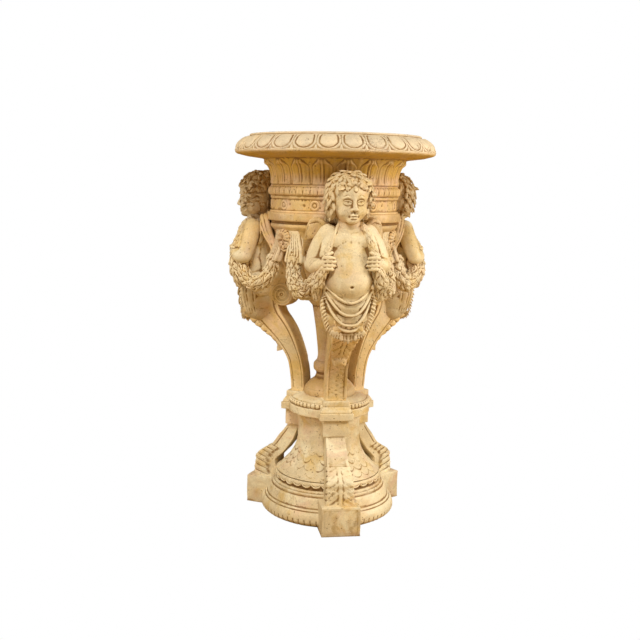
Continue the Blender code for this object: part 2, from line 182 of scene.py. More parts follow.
# meshes from arrays
def meshData(name, verts, faces):
    mesh = bpy.data.meshes.new(name)
    verts = np.asarray(verts, np.float32)
    faces = np.asarray(faces, np.int32)
    mesh.vertices.add(len(verts))
    mesh.vertices.foreach_set("co", verts.ravel())
    mesh.loops.add(faces.size)
    mesh.loops.foreach_set("vertex_index", faces.ravel())
    mesh.polygons.add(len(faces))
    mesh.polygons.foreach_set("loop_start", np.arange(0, faces.size, faces.shape[1], dtype=np.int32))
    mesh.update(calc_edges=True)
    mesh.validate()
    return mesh


def readMesh(mesh):
    v = np.empty(len(mesh.vertices) * 3, np.float32)
    mesh.vertices.foreach_get("co", v)
    e = np.empty(len(mesh.edges) * 2, np.int32)
    mesh.edges.foreach_get("vertices", e)
    return v.reshape(-1, 3).astype(float), e.reshape(-1, 2)


def vertexNormals(mesh):
    n = np.empty(len(mesh.vertices) * 3, np.float32)
    mesh.vertex_normals.foreach_get("vector", n)
    return n.reshape(-1, 3).astype(float)


def movePoints(mesh, v):
    mesh.vertices.foreach_set("co", v.astype(np.float32).ravel())
    mesh.update()


def setField(mesh, name, values):
    # one number for each point, which the stone materials read
    mesh.attributes.new(name, "FLOAT", "POINT").data.foreach_set("value", values.astype(np.float32))


def relax(v, edges, rounds):
    a, b = edges[:, 0], edges[:, 1]
    count = np.bincount(a, minlength=len(v)) + np.bincount(b, minlength=len(v))
    count = np.maximum(count, 1)[:, None]
    out = v.copy()
    for _ in range(rounds):
        acc = np.stack([np.bincount(a, out[b, i], len(v)) + np.bincount(b, out[a, i], len(v))
                        for i in range(3)], 1)
        out = out * 0.5 + acc / count * 0.5
    return out


def carvedDepth(mesh):
    # how far each point lies in a hollow (positive) or on a ridge (negative), at two widths
    v, e = readMesh(mesh)
    n = vertexNormals(mesh)
    # finer meshes need more steps to smooth over the same width
    side = np.median(np.linalg.norm(v[e[:, 0]] - v[e[:, 1]], axis=1))
    more = float(np.clip((0.0024 / side) ** 2, 1.0, 2.6))
    near = relax(v, e, round(4 * more))
    far = relax(near, e, round(26 * more))
    fine = ((near - v) * n).sum(1)
    wide = ((far - v) * n).sum(1)
    setField(mesh, "fine", fine * 1000)
    setField(mesh, "wide", wide * 1000)


def thinned(name, mesh):
    # depths are measured on the dense mesh, which is then thinned to the piece's share of triangles
    carvedDepth(mesh)
    mesh.calc_loop_triangles()
    share = faceLimits[name.split("_")[0]] / len(mesh.loop_triangles)
    if share < 1:
        mesh = evaluated(name, mesh, ("DECIMATE", {"ratio": share, "use_collapse_triangulate": True}))
    return mesh


def addPiece(name, mesh, setName, replaced=None):
    ob = bpy.data.objects.new(name, mesh)
    bpy.context.scene.collection.objects.link(ob)
    mesh.polygons.foreach_set("use_smooth", np.ones(len(mesh.polygons), bool))
    if "sootAndShade" not in mesh.attributes:
        mesh.attributes.new("sootAndShade", "FLOAT", "POINT")
    mesh.materials.clear()
    mesh.materials.append(stone[setName])
    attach(ob, "root")
    if replaced:
        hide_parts(replaced)


def gridFaces(rows, cols, wrapCols=True, offset=0):
    i = np.arange(rows - 1)[:, None]
    j = np.arange(cols if wrapCols else cols - 1)[None, :]
    k = (j + 1) % cols
    a = i * cols + j
    b = i * cols + k
    c = (i + 1) * cols + k
    d = (i + 1) * cols + j
    return np.stack([a, b, c, d], -1).reshape(-1, 4) + offset


def tubeFaces(rows, sides):
    # triangles of a closed tube, with one more point at its start and one at its end
    quads = gridFaces(rows, sides)
    ring = np.arange(sides)
    nxt = np.roll(ring, -1)
    first, last = rows * sides, (rows - 1) * sides
    caps = [np.stack([np.full(sides, first), nxt, ring], 1),
            np.stack([np.full(sides, first + 1), last + ring, last + nxt], 1)]
    return np.concatenate([quads[:, [0, 1, 2]], quads[:, [0, 2, 3]], *caps])


def facedOut(mesh, joined=None, dist=1e-6):
    # doubled points are joined where joined says so, and all faces turned outwards
    bm = bmesh.new()
    bm.from_mesh(mesh)
    if joined:
        bmesh.ops.remove_doubles(bm, verts=[p for p in bm.verts if joined(p.co)], dist=dist)
    bmesh.ops.recalc_face_normals(bm, faces=bm.faces)
    bm.to_mesh(mesh)
    bm.free()
    return mesh


def turnedMesh(name, profile, columns, relief=None):
    # profile of (radius, z) points turned about the axis, pushed along its normal by the relief
    prof = np.asarray(profile)
    tangent = np.gradient(prof, axis=0)
    normal = np.stack([tangent[:, 1], -tangent[:, 0]], 1)
    normal /= np.maximum(np.linalg.norm(normal, axis=1), 1e-9)[:, None]
    ang = np.arange(columns) * math.tau / columns
    push = relief(ang[None, :]) if relief else np.zeros((len(prof), 1))
    push = np.where(prof[:, 0][:, None] > 0.003, push, 0.0)
    r = np.maximum(prof[:, 0][:, None] + push * normal[:, 0][:, None] + 0 * ang, 0.0)
    z = prof[:, 1][:, None] + push * normal[:, 1][:, None] + 0 * ang
    v = np.stack([r * np.sin(ang), -r * np.cos(ang), z], -1).reshape(-1, 3)
    mesh = meshData(name, v, gridFaces(len(prof), columns))
    return facedOut(mesh, lambda p: math.hypot(p.x, p.y) < 1e-5, 1e-4)


def wrapped(ang, count, shift=0.0):
    # angle from the nearest of count places, in shares of half their pitch
    pitch = math.tau / count
    return (np.mod(ang - shift + pitch / 2, pitch) - pitch / 2) / (pitch / 2)


def arcFrom(prof, row):
    steps = lengthsAlong(prof)
    return steps - steps[row]


# clay: overlapping solids that are fused, then carved
def unitBall(detail):
    bm = bmesh.new()
    bmesh.ops.create_icosphere(bm, subdivisions=detail, radius=1.0)
    v = np.array([p.co for p in bm.verts])
    f = np.array([[p.index for p in q.verts] for q in bm.faces])
    bm.free()
    return v, f


ballForms = {d: unitBall(d) for d in (2, 3, 4)}


class Clay:
    def __init__(self):
        self.verts = []
        self.faces = []
        self.count = 0

    def add(self, v, f):
        self.verts.append(v)
        self.faces.append(f + self.count)
        self.count += len(v)

    def ball(self, centre, radii, detail=3):
        v, f = ballForms[detail]
        self.add(v * np.array(radii) + np.array(centre), f)

    def limb(self, points, radii, sides=12, flat=1.0, up=None):
        # a tube through the points with round ends; flat squeezes it across the up direction
        pts = np.asarray(points, float)
        rad = np.asarray(radii, float)
        tang = np.gradient(pts, axis=0)
        tang /= np.linalg.norm(tang, axis=1)[:, None]
        ref = np.array(up if up is not None else (0.13, 0.31, 0.94))
        a = ref - (tang @ ref)[:, None] * tang
        a /= np.maximum(np.linalg.norm(a, axis=1), 1e-6)[:, None]
        b = np.cross(tang, a)
        rows = []
        for t in (0.25, 0.6, 0.87):
            rows.append((pts[0] - tang[0] * rad[0] * math.cos(t * math.pi / 2),
                         rad[0] * math.sin(t * math.pi / 2), 0))
        for i in range(len(pts)):
            rows.append((pts[i], rad[i], i))
        for t in (0.87, 0.6, 0.25):
            end = pts[-1] + tang[-1] * rad[-1] * math.cos(t * math.pi / 2)
            rows.append((end, rad[-1] * math.sin(t * math.pi / 2), len(pts) - 1))
        ang = np.arange(sides) * math.tau / sides
        v = [c + r * (flat * np.cos(ang)[:, None] * a[i] + np.sin(ang)[:, None] * b[i]) for c, r, i in rows]
        v = np.concatenate(v + [rows[0][0][None, :], rows[-1][0][None, :]])
        self.add(v, tubeFaces(len(rows), sides))

    def leaf(self, base, tip, width, thick, face, curl=0.0, lobes=3):
        # a lobed leaf from base to tip; face is its outward side and curl lifts the tip
        base, tip, face = np.array(base, float), np.array(tip, float), np.array(face, float)
        axis = tip - base
        length = np.linalg.norm(axis)
        axis /= length
        face = face - (face @ axis) * axis
        face /= np.linalg.norm(face)
        side = np.cross(face, axis)
        n = 9
        mid = [base + axis * length * t + face * curl * length * t * t for t in np.linspace(0, 1, n)]
        w = [width * 0.5 * (0.35 + 1.1 * math.sin(math.pi * min(0.96, 0.12 + 0.84 * t)) ** 0.8) * 0.62
             for t in np.linspace(0, 1, n)]
        self.limb(mid, w, sides=10, flat=thick / max(width * 0.5, 1e-6), up=face)
        for i in range(lobes):
            t = 0.22 + 0.5 * i / max(1, lobes - 1)
            root = base + axis * length * t + face * curl * length * t * t
            for s in (-1, 1):
                aside = side * s * 0.85 + axis * 0.55
                end = root + aside * width * 0.52 * (1.05 - 0.45 * t) + face * thick * 0.5
                self.limb([root, (root + end) / 2 + face * thick * 0.35, end],
                          [width * 0.17, width * 0.15, width * 0.05], sides=8,
                          flat=thick / max(width * 0.34, 1e-6), up=face)

    def mesh(self, name):
        return meshData(name, np.concatenate(self.verts), np.concatenate(self.faces))


def evaluated(name, mesh, *modifiers):
    ob = bpy.data.objects.new(name, mesh)
    bpy.context.scene.collection.objects.link(ob)
    for kind, values in modifiers:
        mod = ob.modifiers.new(kind.lower(), kind)
        for key, value in values.items():
            setattr(mod, key, value)
    deps = bpy.context.evaluated_depsgraph_get()
    out = bpy.data.meshes.new_from_object(ob.evaluated_get(deps))
    bpy.data.objects.remove(ob)
    out.name = name
    return out


def fused(name, clay, voxel, smooth=2):
    return evaluated(name, clay.mesh(name), ("REMESH", {"mode": "VOXEL", "voxel_size": voxel}),
                     ("SMOOTH", {"factor": 0.5, "iterations": smooth}))


def carve(mesh, push):
    # push(points, normals) gives the height to add along the normal of each point
    v, _ = readMesh(mesh)
    n = vertexNormals(mesh)
    movePoints(mesh, v + n * push(v, n)[:, None])
    return mesh


def stamps(v, marks):
    # soft dents and swellings: centre, radii, height
    total = np.zeros(len(v))
    for centre, radii, high in marks:
        q = ((v - np.array(centre)) / np.array(radii)) ** 2
        total += high * np.exp(-q.sum(1))
    return total


def turnedCopies(name, mesh, setName, sootAndShade=None):
    # the same carving on each third of the planter; aged gives the soot, with any painted shade, of the
    # front and of the sides
    mesh = thinned(name, mesh)
    v, _ = readMesh(mesh)
    share = np.zeros(len(v), np.float32)
    if "hair" in mesh.attributes:
        mesh.attributes["hair"].data.foreach_get("value", share)
    for k, where in enumerate(("front", "right", "left")):
        copy = mesh.copy()
        movePoints(copy, turnedPoints(v, k))
        if sootAndShade:
            setField(copy, "sootAndShade", sootAndShade(v, share)[min(k, 1)])
        addPiece(f"{name}_{where}", copy, setName)


# shader sockets that add, multiply and compare like numbers
class Sock:
    tree = None

    def __init__(self, socket):
        self.socket = socket

    @staticmethod
    def node(kind, sockets=None, **settings):
        # the settings are set first, then the values or links of its sockets
        n = Sock.tree.nodes.new(kind)
        for key, value in settings.items():
            setattr(n, key, value)
        for key, value in (sockets or {}).items():
            Sock.put(n.inputs[key], value)
        return n

    @staticmethod
    def put(target, value):
        if isinstance(value, Sock):
            Sock.tree.links.new(value.socket, target)
        else:
            target.default_value = value

    def calc(self, other, op, swap=False):
        first, second = (other, self) if swap else (self, other)
        return Sock(Sock.node("ShaderNodeMath", {0: first, 1: second}, operation=op).outputs[0])

    def __add__(self, other):
        return self.calc(other, "ADD")

    def __radd__(self, other):
        return self.calc(other, "ADD", True)

    def __sub__(self, other):
        return self.calc(other, "SUBTRACT")

    def __rsub__(self, other):
        return self.calc(other, "SUBTRACT", True)

    def __mul__(self, other):
        return self.calc(other, "MULTIPLY")

    def __rmul__(self, other):
        return self.calc(other, "MULTIPLY", True)

    def __pow__(self, other):
        return self.calc(other, "POWER")

    def larger(self, other):
        return self.calc(other, "MAXIMUM")

    def smaller(self, other):
        return self.calc(other, "MINIMUM")

    def fit(self, low, high, outLow=0.0, outHigh=1.0):
        limits = {"Value": self, "From Min": low, "From Max": high, "To Min": outLow, "To Max": outHigh}
        return Sock(Sock.node("ShaderNodeMapRange", limits,
                              interpolation_type="SMOOTHSTEP").outputs["Result"])

    def split(self):
        return [Sock(o) for o in Sock.node("ShaderNodeSeparateXYZ", {0: self}).outputs]


def attribute(name):
    return Sock(Sock.node("ShaderNodeAttribute", attribute_name=name).outputs["Fac"])


def noise(place, scale, detail=3.0, rough=0.55, warp=0.0):
    values = {"Vector": place, "Scale": scale, "Detail": detail, "Roughness": rough, "Distortion": warp}
    return Sock(Sock.node("ShaderNodeTexNoise", values).outputs["Fac"])


def voronoi(place, scale):
    return Sock(Sock.node("ShaderNodeTexVoronoi", {"Vector": place, "Scale": scale}).outputs["Distance"])


def blendColours(share, first, second, how="MIX"):
    first, second = [(*c, 1.0) if isinstance(c, tuple) else c for c in (first, second)]
    mix = Sock.node("ShaderNodeMix", {"Factor": share, 6: first, 7: second}, data_type="RGBA",
                    blend_type=how)
    return Sock(mix.outputs[2])


def makeStone(name, look):
    mat = bpy.data.materials.new(name)
    mat.use_nodes = True
    Sock.tree = mat.node_tree
    shader = mat.node_tree.nodes["Principled BSDF"]
    place = Sock(Sock.node("ShaderNodeTexCoord").outputs["Object"])
    height = place.split()[2]
    fine = attribute("fine")
    wide = attribute("wide")
    cloud = noise(place, 5.0, 4.0, 0.6, 0.4)
    patch = noise(place, 17.0, 4.0, 0.62, 0.8)
    grain = noise(place, 190.0, 3.0, 0.6)
    speck = noise(place, 620.0, 2.0, 0.5)

    # ochre staining and painted shade gather in the hollows, the ridges are rubbed pale
    hollowStainAndShade = wide.fit(-1.2, 2.6) * 0.75 + fine.fit(0.02, 0.32) * 0.55
    stainAndShade = (hollowStainAndShade + (cloud - 0.5) * 2.1 + (patch - 0.5) * 1.4 + (look["stainAndShade"] - 0.5)).fit(0.0, 1.0)
    colour = blendColours(stainAndShade, look["cream"], look["ochre"])
    rosy = noise(place, 6.5, 3.0, 0.6, 0.6).fit(0.46, 0.62) * look["rose"]
    colour = blendColours(rosy, colour, (0.74, 0.50, 0.36))
    gold = noise(place, 9.0, 3.0, 0.6, 0.5).fit(0.50, 0.64) * look["gold"]
    colour = blendColours(gold, colour, (0.66, 0.45, 0.13))
    pale = noise(place, 8.0, 4.0, 0.62, 0.9).fit(0.47, 0.62) * look["bleach"] * (1.0 - stainAndShade * 0.6)
    colour = blendColours(pale, colour, (0.82, 0.73, 0.50))
    if "shade" in look:
        # painted shade: deeper gold on the sheltered neck below the rim, where the rim's shadow falls
        low, high = look["shade"]
        band = (height - low).fit(0.0, 0.03) * (high - height).fit(0.0, 0.006)
        neckShade = band * patch.fit(0.25, 0.65, 0.60, 1.0)
        colour = blendColours(neckShade, colour, (0.57, 0.345, 0.050))
    # worn ridges and edges are made paler: partly wear, partly a painted highlight where the raised edges
    # catch the light
    edges = (wide * -1.0).fit(0.6, 4.0) * 0.5 + (fine * -1.0).fit(0.05, 0.45) * 0.5
    rubbed = edges * patch.fit(0.3, 0.75, 0.5, 1.0)
    colour = blendColours(rubbed, colour, tuple(min(1.0, c * 1.13 + 0.02) for c in look["cream"]))
    # dirt and painted shade darken the fine crevices and the wide hollows
    creviceDirtAndShade = (fine.fit(0.06, 0.42) * 0.9 + wide.fit(1.8, 5.0) * 0.7) * patch.fit(0.25, 0.6, 0.40, 1.0)
    creviceDirtAndShade = (creviceDirtAndShade * look["creviceDirtAndShade"]).smaller(0.88)
    colour = blendColours(creviceDirtAndShade, colour, look["dirtAndShadeColour"])
    # the top of the basin, above the height pale, is made paler, less so on dirt and stain
    if "crown" in look:
        crown = (height - look["pale"]).fit(-0.004, 0.012) * (1.0 - creviceDirtAndShade) * (1.0 - stainAndShade * 0.5)
        colour = blendColours(crown * 0.85, colour, look["crown"])
    if "groundShade" in look:
        # painted contact shade: mottled darkening of the stone close to the ground
        foot = (look["groundShade"] - height).fit(-0.012, 0.020) * patch.fit(0.30, 0.62, 0.3, 1.0)
        colour = blendColours(foot * 0.75, colour, look["dirtAndShadeColour"])
    # years of soot on the hair and on the two figures at the sides, deeper in the fine hollows as painted
    # shade; on the heads it also holds painted shade in the eyes, nostrils and mouth line
    sootAndShade = attribute("sootAndShade") * (0.55 + (patch - 0.5) * 1.1 + fine.fit(-0.1, 0.4) * 0.5)
    sootAndShade = sootAndShade.smaller(0.92).larger(0.0)
    colour = blendColours(sootAndShade, colour, look.get("sootAndShadeColour", look["dirtAndShadeColour"]))
    # small pits and dark veins of the travertine-like marble
    cells = voronoi(place, 85.0)
    pits = (1.0 - cells.fit(0.12, 0.30)) * noise(place, 24.0, 2.0).fit(0.50, 0.64)
    tiny = (1.0 - voronoi(place, 240.0).fit(0.12, 0.28)) * noise(place, 55.0, 2.0).fit(0.5, 0.66)
    vein = noise(place, 7.0, 5.0, 0.62, 1.4) - 0.5
    vein = (vein * vein) ** 0.5
    streak = (1.0 - vein.fit(0.0, 0.014)) * noise(place, 11.0, 2.0).fit(0.5, 0.68)
    dark = (pits * 0.68).larger(tiny * 0.40).larger(streak * 0.45)
    colour = blendColours(dark, colour, look["dirtAndShadeColour"])
    tone = 1.0 + (grain - 0.5) * 0.42 + (speck - 0.5) * 0.30 + (cloud - 0.5) * 0.50 + (patch - 0.5) * 0.42
    grey = Sock(Sock.node("ShaderNodeCombineXYZ", {0: tone, 1: tone, 2: tone}).outputs[0])
    Sock.put(shader.inputs["Base Color"], blendColours(1.0, colour, grey, "MULTIPLY"))
    rough = 0.60 + (patch - 0.5) * 0.25 + creviceDirtAndShade * 0.2 + dark * 0.2 - rubbed * 0.14
    Sock.put(shader.inputs["Roughness"], rough.larger(0.3).smaller(1.0))
    shader.inputs["Specular IOR Level"].default_value = 0.38
    depth = grain * 0.30 + speck * 0.12 + patch * 0.7 - pits * 1.5 - tiny * 0.8 - streak * 0.4
    swell = Sock.node("ShaderNodeBump", {"Strength": 0.55, "Distance": 0.0016, "Height": depth})
    Sock.put(shader.inputs["Normal"], Sock(swell.outputs["Normal"]))
    print("stone", name)
    return mat


# upper basin
basinSet = {
    "columns": 648, "step": 0.0021, "rim": 0.3378, "neck": 0.2145, "wall": 0.030, "floor": 0.0325,
    "eggs": 27, "eggWide": 0.0285, "eggLow": 0.0235, "eggTop": 0.062, "eggHigh": 0.0075,
    "leaves": 18, "cyma": 54,
    "cream": (0.665, 0.45, 0.205), "ochre": (0.53, 0.31, 0.075), "dirtAndShadeColour": (0.20, 0.095, 0.028),
    "stainAndShade": 0.52, "creviceDirtAndShade": 0.9, "rose": 0.55, "gold": 0.5, "pale": 1.238, "crown": (0.70, 0.59, 0.41),
    "bleach": 0.25, "shade": (1.150, 1.243),
}
stone["basin"] = makeStone("basinStone", basinSet)


def buildBasin():
    low, top, neck, rim = planter["basinSeat"], planter["top"], basinSet["neck"], basinSet["rim"]
    band, edge, lip = low + 0.0475, top - 0.0573, top - 0.0065
    z0, z1 = band + 0.0415, edge - 0.0227
    lipR = 0.2896

    def nz(share):
        return z0 + (z1 - z0) * share

    lower = [(0.0, low), (neck + 0.0035, low), (neck + 0.0035, low + 0.0045), (neck - 0.0015, low + 0.0075),
             (neck - 0.0015, band - 0.0030), (neck + 0.0020, band), (neck + 0.0020, band + 0.0080),
             (neck + 0.0065, band + 0.0110)]
    cyma = curveThrough([(neck + 0.0065, band + 0.0110), (neck + 0.0092, band + 0.0190),
                         (neck + 0.0080, band + 0.0300), (neck + 0.0030, band + 0.0365)], 9)
    cove = curveThrough([(neck + 0.0005, nz(0)), (neck - 0.0010, nz(0.19)), (neck, nz(0.38)),
                         (neck + 0.0070, nz(0.65)), (neck + 0.0185, nz(0.86)), (neck + 0.0295, nz(1))], 30)
    soffit = [(neck + 0.034, nz(1) + 0.0012), (rim - 0.0380, edge - 0.0147), (rim - 0.0080, edge - 0.0077),
              (rim - 0.0010, edge - 0.0035), (rim, edge)]
    crown = curveThrough([(rim, edge), (rim - 0.0005, edge + 0.0073), (rim - 0.0085, edge + 0.0233),
                          (rim - 0.0230, edge + 0.0373), (lipR + 0.0070, lip - 0.0030)], 26)
    mouth, throat, floor = lipR - basinSet["wall"], neck - basinSet["wall"], low + basinSet["floor"]
    rest = [(lipR + 0.0008, lip - 0.0004), (lipR, lip + 0.0010), (lipR, top - 0.0018), (lipR - 0.0022, top),
            (mouth + 0.004, top), (mouth, top - 0.003)]
    inside = curveThrough([(mouth, top - 0.003), (throat + (mouth - throat) * 0.66, edge + 0.002),
                           (throat + (mouth - throat) * 0.27, edge - 0.028), (throat, nz(0.55)),
                           (throat, band + 0.017), (throat - 0.0125, floor + 0.008),
                           (throat - 0.0345, floor)], 24)
    outer = resample([*lower, *cyma, *cove, *soffit, *crown[1:], *rest], basinSet["step"])
    shell = np.concatenate([outer, inside[1:], [[0.0, floor]]])
    crownRow = int(np.argmin(np.hypot(outer[:, 0] - rim, outer[:, 1] - edge)))
    arc = arcFrom(shell, crownRow)[:, None]
    z = shell[:, 1][:, None]
    outside = (np.arange(len(shell)) < len(outer) - 12)[:, None]

    def relief(ang):
        # egg moulding: swelling eggs in raised collars with darts between them
        x = wrapped(ang, basinSet["eggs"]) * math.pi / basinSet["eggs"] * 0.330
        y = arc - 0.0320
        tall = np.where(y < 0, y / basinSet["eggLow"], y / basinSet["eggTop"])
        e = np.sqrt((x / basinSet["eggWide"]) ** 2 + tall ** 2)
        egg = basinSet["eggHigh"] * np.sqrt(np.clip(1 - e * e, 0, 1)) ** 0.9
        collar = 0.0046 * bump(e - 1.24, 0.130) - 0.0010 * bump(e - 1.03, 0.06)
        far = np.abs(x) - math.pi / basinSet["eggs"] * 0.330
        dart = 0.0036 * bump(far, 0.0035) * (1 - ramp(arc, 0.012, 0.024))
        out = (egg + collar + dart - 0.0026) * ramp(arc, 0.001, 0.006) * (1 - ramp(arc, 0.062, 0.067))
        out = out * (arc > 0)
        # broad leaves round the neck, each with a midrib and slanting veins
        t = (z - nz(0.02)) / (nz(0.93) - nz(0.02))
        u = wrapped(ang, basinSet["leaves"])
        width = 0.90 - 0.55 * ramp(t, 0.70, 1.03)
        on = ramp(width - np.abs(u), 0.0, 0.14) * ramp(t, 0.0, 0.06) * (1 - ramp(t, 0.98, 1.06))
        veins = 0.0014 * bump(u, 0.06) - 0.0008 * bump(np.abs(u) - 0.13, 0.05)
        blade = on * (0.0032 - 0.0022 * u * u + veins)
        veins = np.cos(u * math.tau * (3.2 - 0.9 * t)) * 0.00042 * on * ramp(t, 0.05, 0.3)
        curl = 0.0034 * on * bump(t - 0.93, 0.07)
        behind = 0.0016 * bump(1 - np.abs(u), 0.16) * ramp(t, 0.15, 0.5)
        out = out + (blade + veins + curl + behind - 0.0010) * (t > 0) * (t < 1.1) * (arc < 0)
        # small upright leaves on the torus above the frieze
        t = (z - (band + 0.0110)) / 0.0255
        u = wrapped(ang, basinSet["cyma"])
        tip = 1 - np.abs(u) ** 1.6
        small = 0.0014 * ramp(tip - t, -0.08, 0.10) - 0.0012 * bump(np.abs(u) - 1, 0.20)
        small = small - 0.0009 * bump(u, 0.12)
        out = out + small * (t > 0) * (t < 1) * (arc < 0)
        # ring roundels and chipped pits in the frieze
        mid = low + 0.0255
        for k in range(3):
            for place in (-26.5, 26.5, -60.0):
                centre = math.radians(place + 120 * k)
                side = (np.mod(ang - centre + math.pi, math.tau) - math.pi) * neck
                q = np.hypot(side, z - mid)
                ring = 0.0030 * bump(q - 0.0125, 0.0032) + 0.0024 * bump(q, 0.0040)
                out = out + ring * (arc < 0)
        for where, high, size, deep in pitMarks:
            side = (np.mod(ang - where + math.pi, math.tau) - math.pi) * neck
            q = np.hypot(side, z - high)
            out = out - deep * bump(q, size) * (arc < 0)
        return out * outside

    pitMarks = [(rng.uniform(-math.pi, math.pi), low + rng.uniform(0.010, 0.045),
                 rng.uniform(0.0018, 0.0045),
                 rng.uniform(0.001, 0.0032)) for _ in range(46)]
    pitMarks += [(math.radians(-36.5), low + 0.024, 0.0055, 0.0045),
                 (math.radians(-38.5), low + 0.041, 0.0035, 0.003)]
    mesh = turnedMesh("upperBasin", shell, basinSet["columns"], relief)
    v, _ = readMesh(mesh)
    wave = valueNoise(v, 0.050, 3) * 0.0006 + valueNoise(v, 0.016, 5) * 0.00025
    n = vertexNormals(mesh)
    keep = (v[:, 2] > low + 0.0006).astype(float)
    movePoints(mesh, v + n * (wave * keep)[:, None])
    mesh = thinned("upperBasin", mesh)
    # drawn in a little, so that the rim's relief stays inside the solid's box
    v, _ = readMesh(mesh)
    v *= (0.995, 0.995, 1.0)
    v[:, 2] = np.minimum(v[:, 2], top)
    movePoints(mesh, v)
    addPiece("upperBasin", mesh, "basin", replaced="upper_basin")
    print("upper basin", len(mesh.polygons))


buildBasin()


# slabs and blocks with worn edges
def boxMesh(name, low, high, radius=0.0025, step=0.004):
    low, high = np.array(low, float), np.array(high, float)
    mid, half = (low + high) / 2, (high - low) / 2
    lines = []
    for h in half:
        n = max(2, int(round(2 * (h - radius) / step)))
        inner = np.linspace(-(h - radius), h - radius, n)
        edge = np.array([radius * s for s in (0.75, 0.4)])
        lines.append(np.concatenate([[-h], -(h - radius) - edge, inner, h - radius + edge[::-1], [h]]))
    verts, faces, count = [], [], 0
    for axis in range(3):
        a, b = [k for k in range(3) if k != axis]
        for side in (-1, 1):
            p, q = np.meshgrid(lines[a], lines[b], indexing="ij")
            v = np.zeros((p.size, 3))
            v[:, a], v[:, b], v[:, axis] = p.ravel(), q.ravel(), side * half[axis]
            verts.append(v)
            faces.append(gridFaces(len(lines[a]), len(lines[b]), False, count))
            count += len(v)
    v = np.concatenate(verts)
    core = np.clip(v, -(half - radius), half - radius)
    out = v - core
    out /= np.maximum(np.linalg.norm(out, axis=1), 1e-9)[:, None]
    return facedOut(meshData(name, core + out * radius + mid, np.concatenate(faces)), lambda p: True)


def worn(mesh, seed, wave=0.0005, chips=0.0022, chipAt=0.50):
    # hand-cut unevenness, small dents and chipped edges, always inwards
    def push(v, n):
        e = readMesh(mesh)[1]
        ridge = np.clip(-((relax(v, e, 5) - v) * n).sum(1) / 0.0006, 0, 1)
        chip = np.clip(valueNoise(v, 0.012, seed + 2) - chipAt, 0, 1) * 2 * ridge
        dent = np.clip(valueNoise(v, 0.0065, seed + 4) - 0.66, 0, 1) * 0.0022
        return -wave * (1 + valueNoise(v, 0.030, seed)) * 0.5 - chips * chip - dent

    return carve(mesh, push)


def sweptSlab(name, outer, inner, width, relief, front=25, side=9, back=9, radius=0.003):
    # a slab between two curves of (radius, z) points, facing the front; relief pushes its faces out
    outer, inner = np.asarray(outer, float), np.asarray(inner, float)
    along = lengthsAlong(outer)
    ring = []
    for part, n in enumerate((front, side, back, side)):
        t = np.arange(n) / n
        t = t * 0.45 + 0.55 * (1 - np.cos(math.pi * t)) / 2
        ring += [(part, a) for a in t]
    part = np.array([p for p, _ in ring])
    a = np.array([q for _, q in ring])
    rows = []
    for i, (o, w) in enumerate(zip(outer, inner)):
        depth = np.hypot(*(w - o))
        inward = (w - o) / depth
        half = width(o[1])
        x = np.choose(part, [-half + 2 * half * a, half + 0 * a, half - 2 * half * a, -half + 0 * a])
        d = np.choose(part, [0 * a, depth * a, depth + 0 * a, depth * (1 - a)]) - depth / 2
        r = min(radius, depth * 0.45, half * 0.45)
        cx, cd = np.clip(x, -(half - r), half - r), np.clip(d, -(depth / 2 - r), depth / 2 - r)
        nx, nd = x - cx, d - cd
        size = np.maximum(np.hypot(nx, nd), 1e-9)
        nx, nd = nx / size, nd / size
        push = relief(part, x / half, d / depth + 0.5, along[i], o[1]) if relief else 0.0
        x, d = cx + nx * (r + push), cd + nd * (r + push) + depth / 2
        p = o[None, :] + inward[None, :] * d[:, None]
        rows.append(np.stack([x, -p[:, 0], p[:, 1]], 1))
    ends = [rows[0].mean(0)[None, :], rows[-1].mean(0)[None, :]]
    return facedOut(meshData(name, np.concatenate(rows + ends), tubeFaces(len(rows), len(a))))


def pairUp(outer, inner, step):
    # both curves resampled station by station
    count = int(lengthsAlong(outer)[-1] / step)
    return curveThrough(outer, count), curveThrough(inner, count)


def acanthus(t, u, lobes, high):
    # leaf relief: midrib, overlapping lobes with fine veins; t runs from root to tip
    across = np.abs(u)
    phase = t * lobes - across * 1.1
    lobe = np.abs(np.sin(np.pi * phase)) ** 0.6
    veins = np.cos(np.pi * 6 * phase) * 0.12 * ramp(across, 0.1, 0.3)
    rib = bump(u, 0.12) * 0.6 - bump(across - 0.22, 0.07) * 0.22
    return high * ((lobe - 0.45) * 0.9 * ramp(across, 0.08, 0.3) + veins + rib + 0.25)


# base
baseSet = {
    "columns": 630, "step": 0.0024, "scaleRow": 0.0270, "scales": 24, "arches": 33, "gadroons": 69,
    "cream": (0.73, 0.60, 0.37), "ochre": (0.57, 0.40, 0.155), "sootAndShadeColour": (0.40, 0.25, 0.075),
    "dirtAndShadeColour": (0.23, 0.125, 0.045),
    "stainAndShade": 0.42, "creviceDirtAndShade": 1.1, "rose": 0.48, "gold": 0.62, "groundShade": 0.012, "bleach": 0.95,
}
stone["base"] = makeStone("baseStone", baseSet)


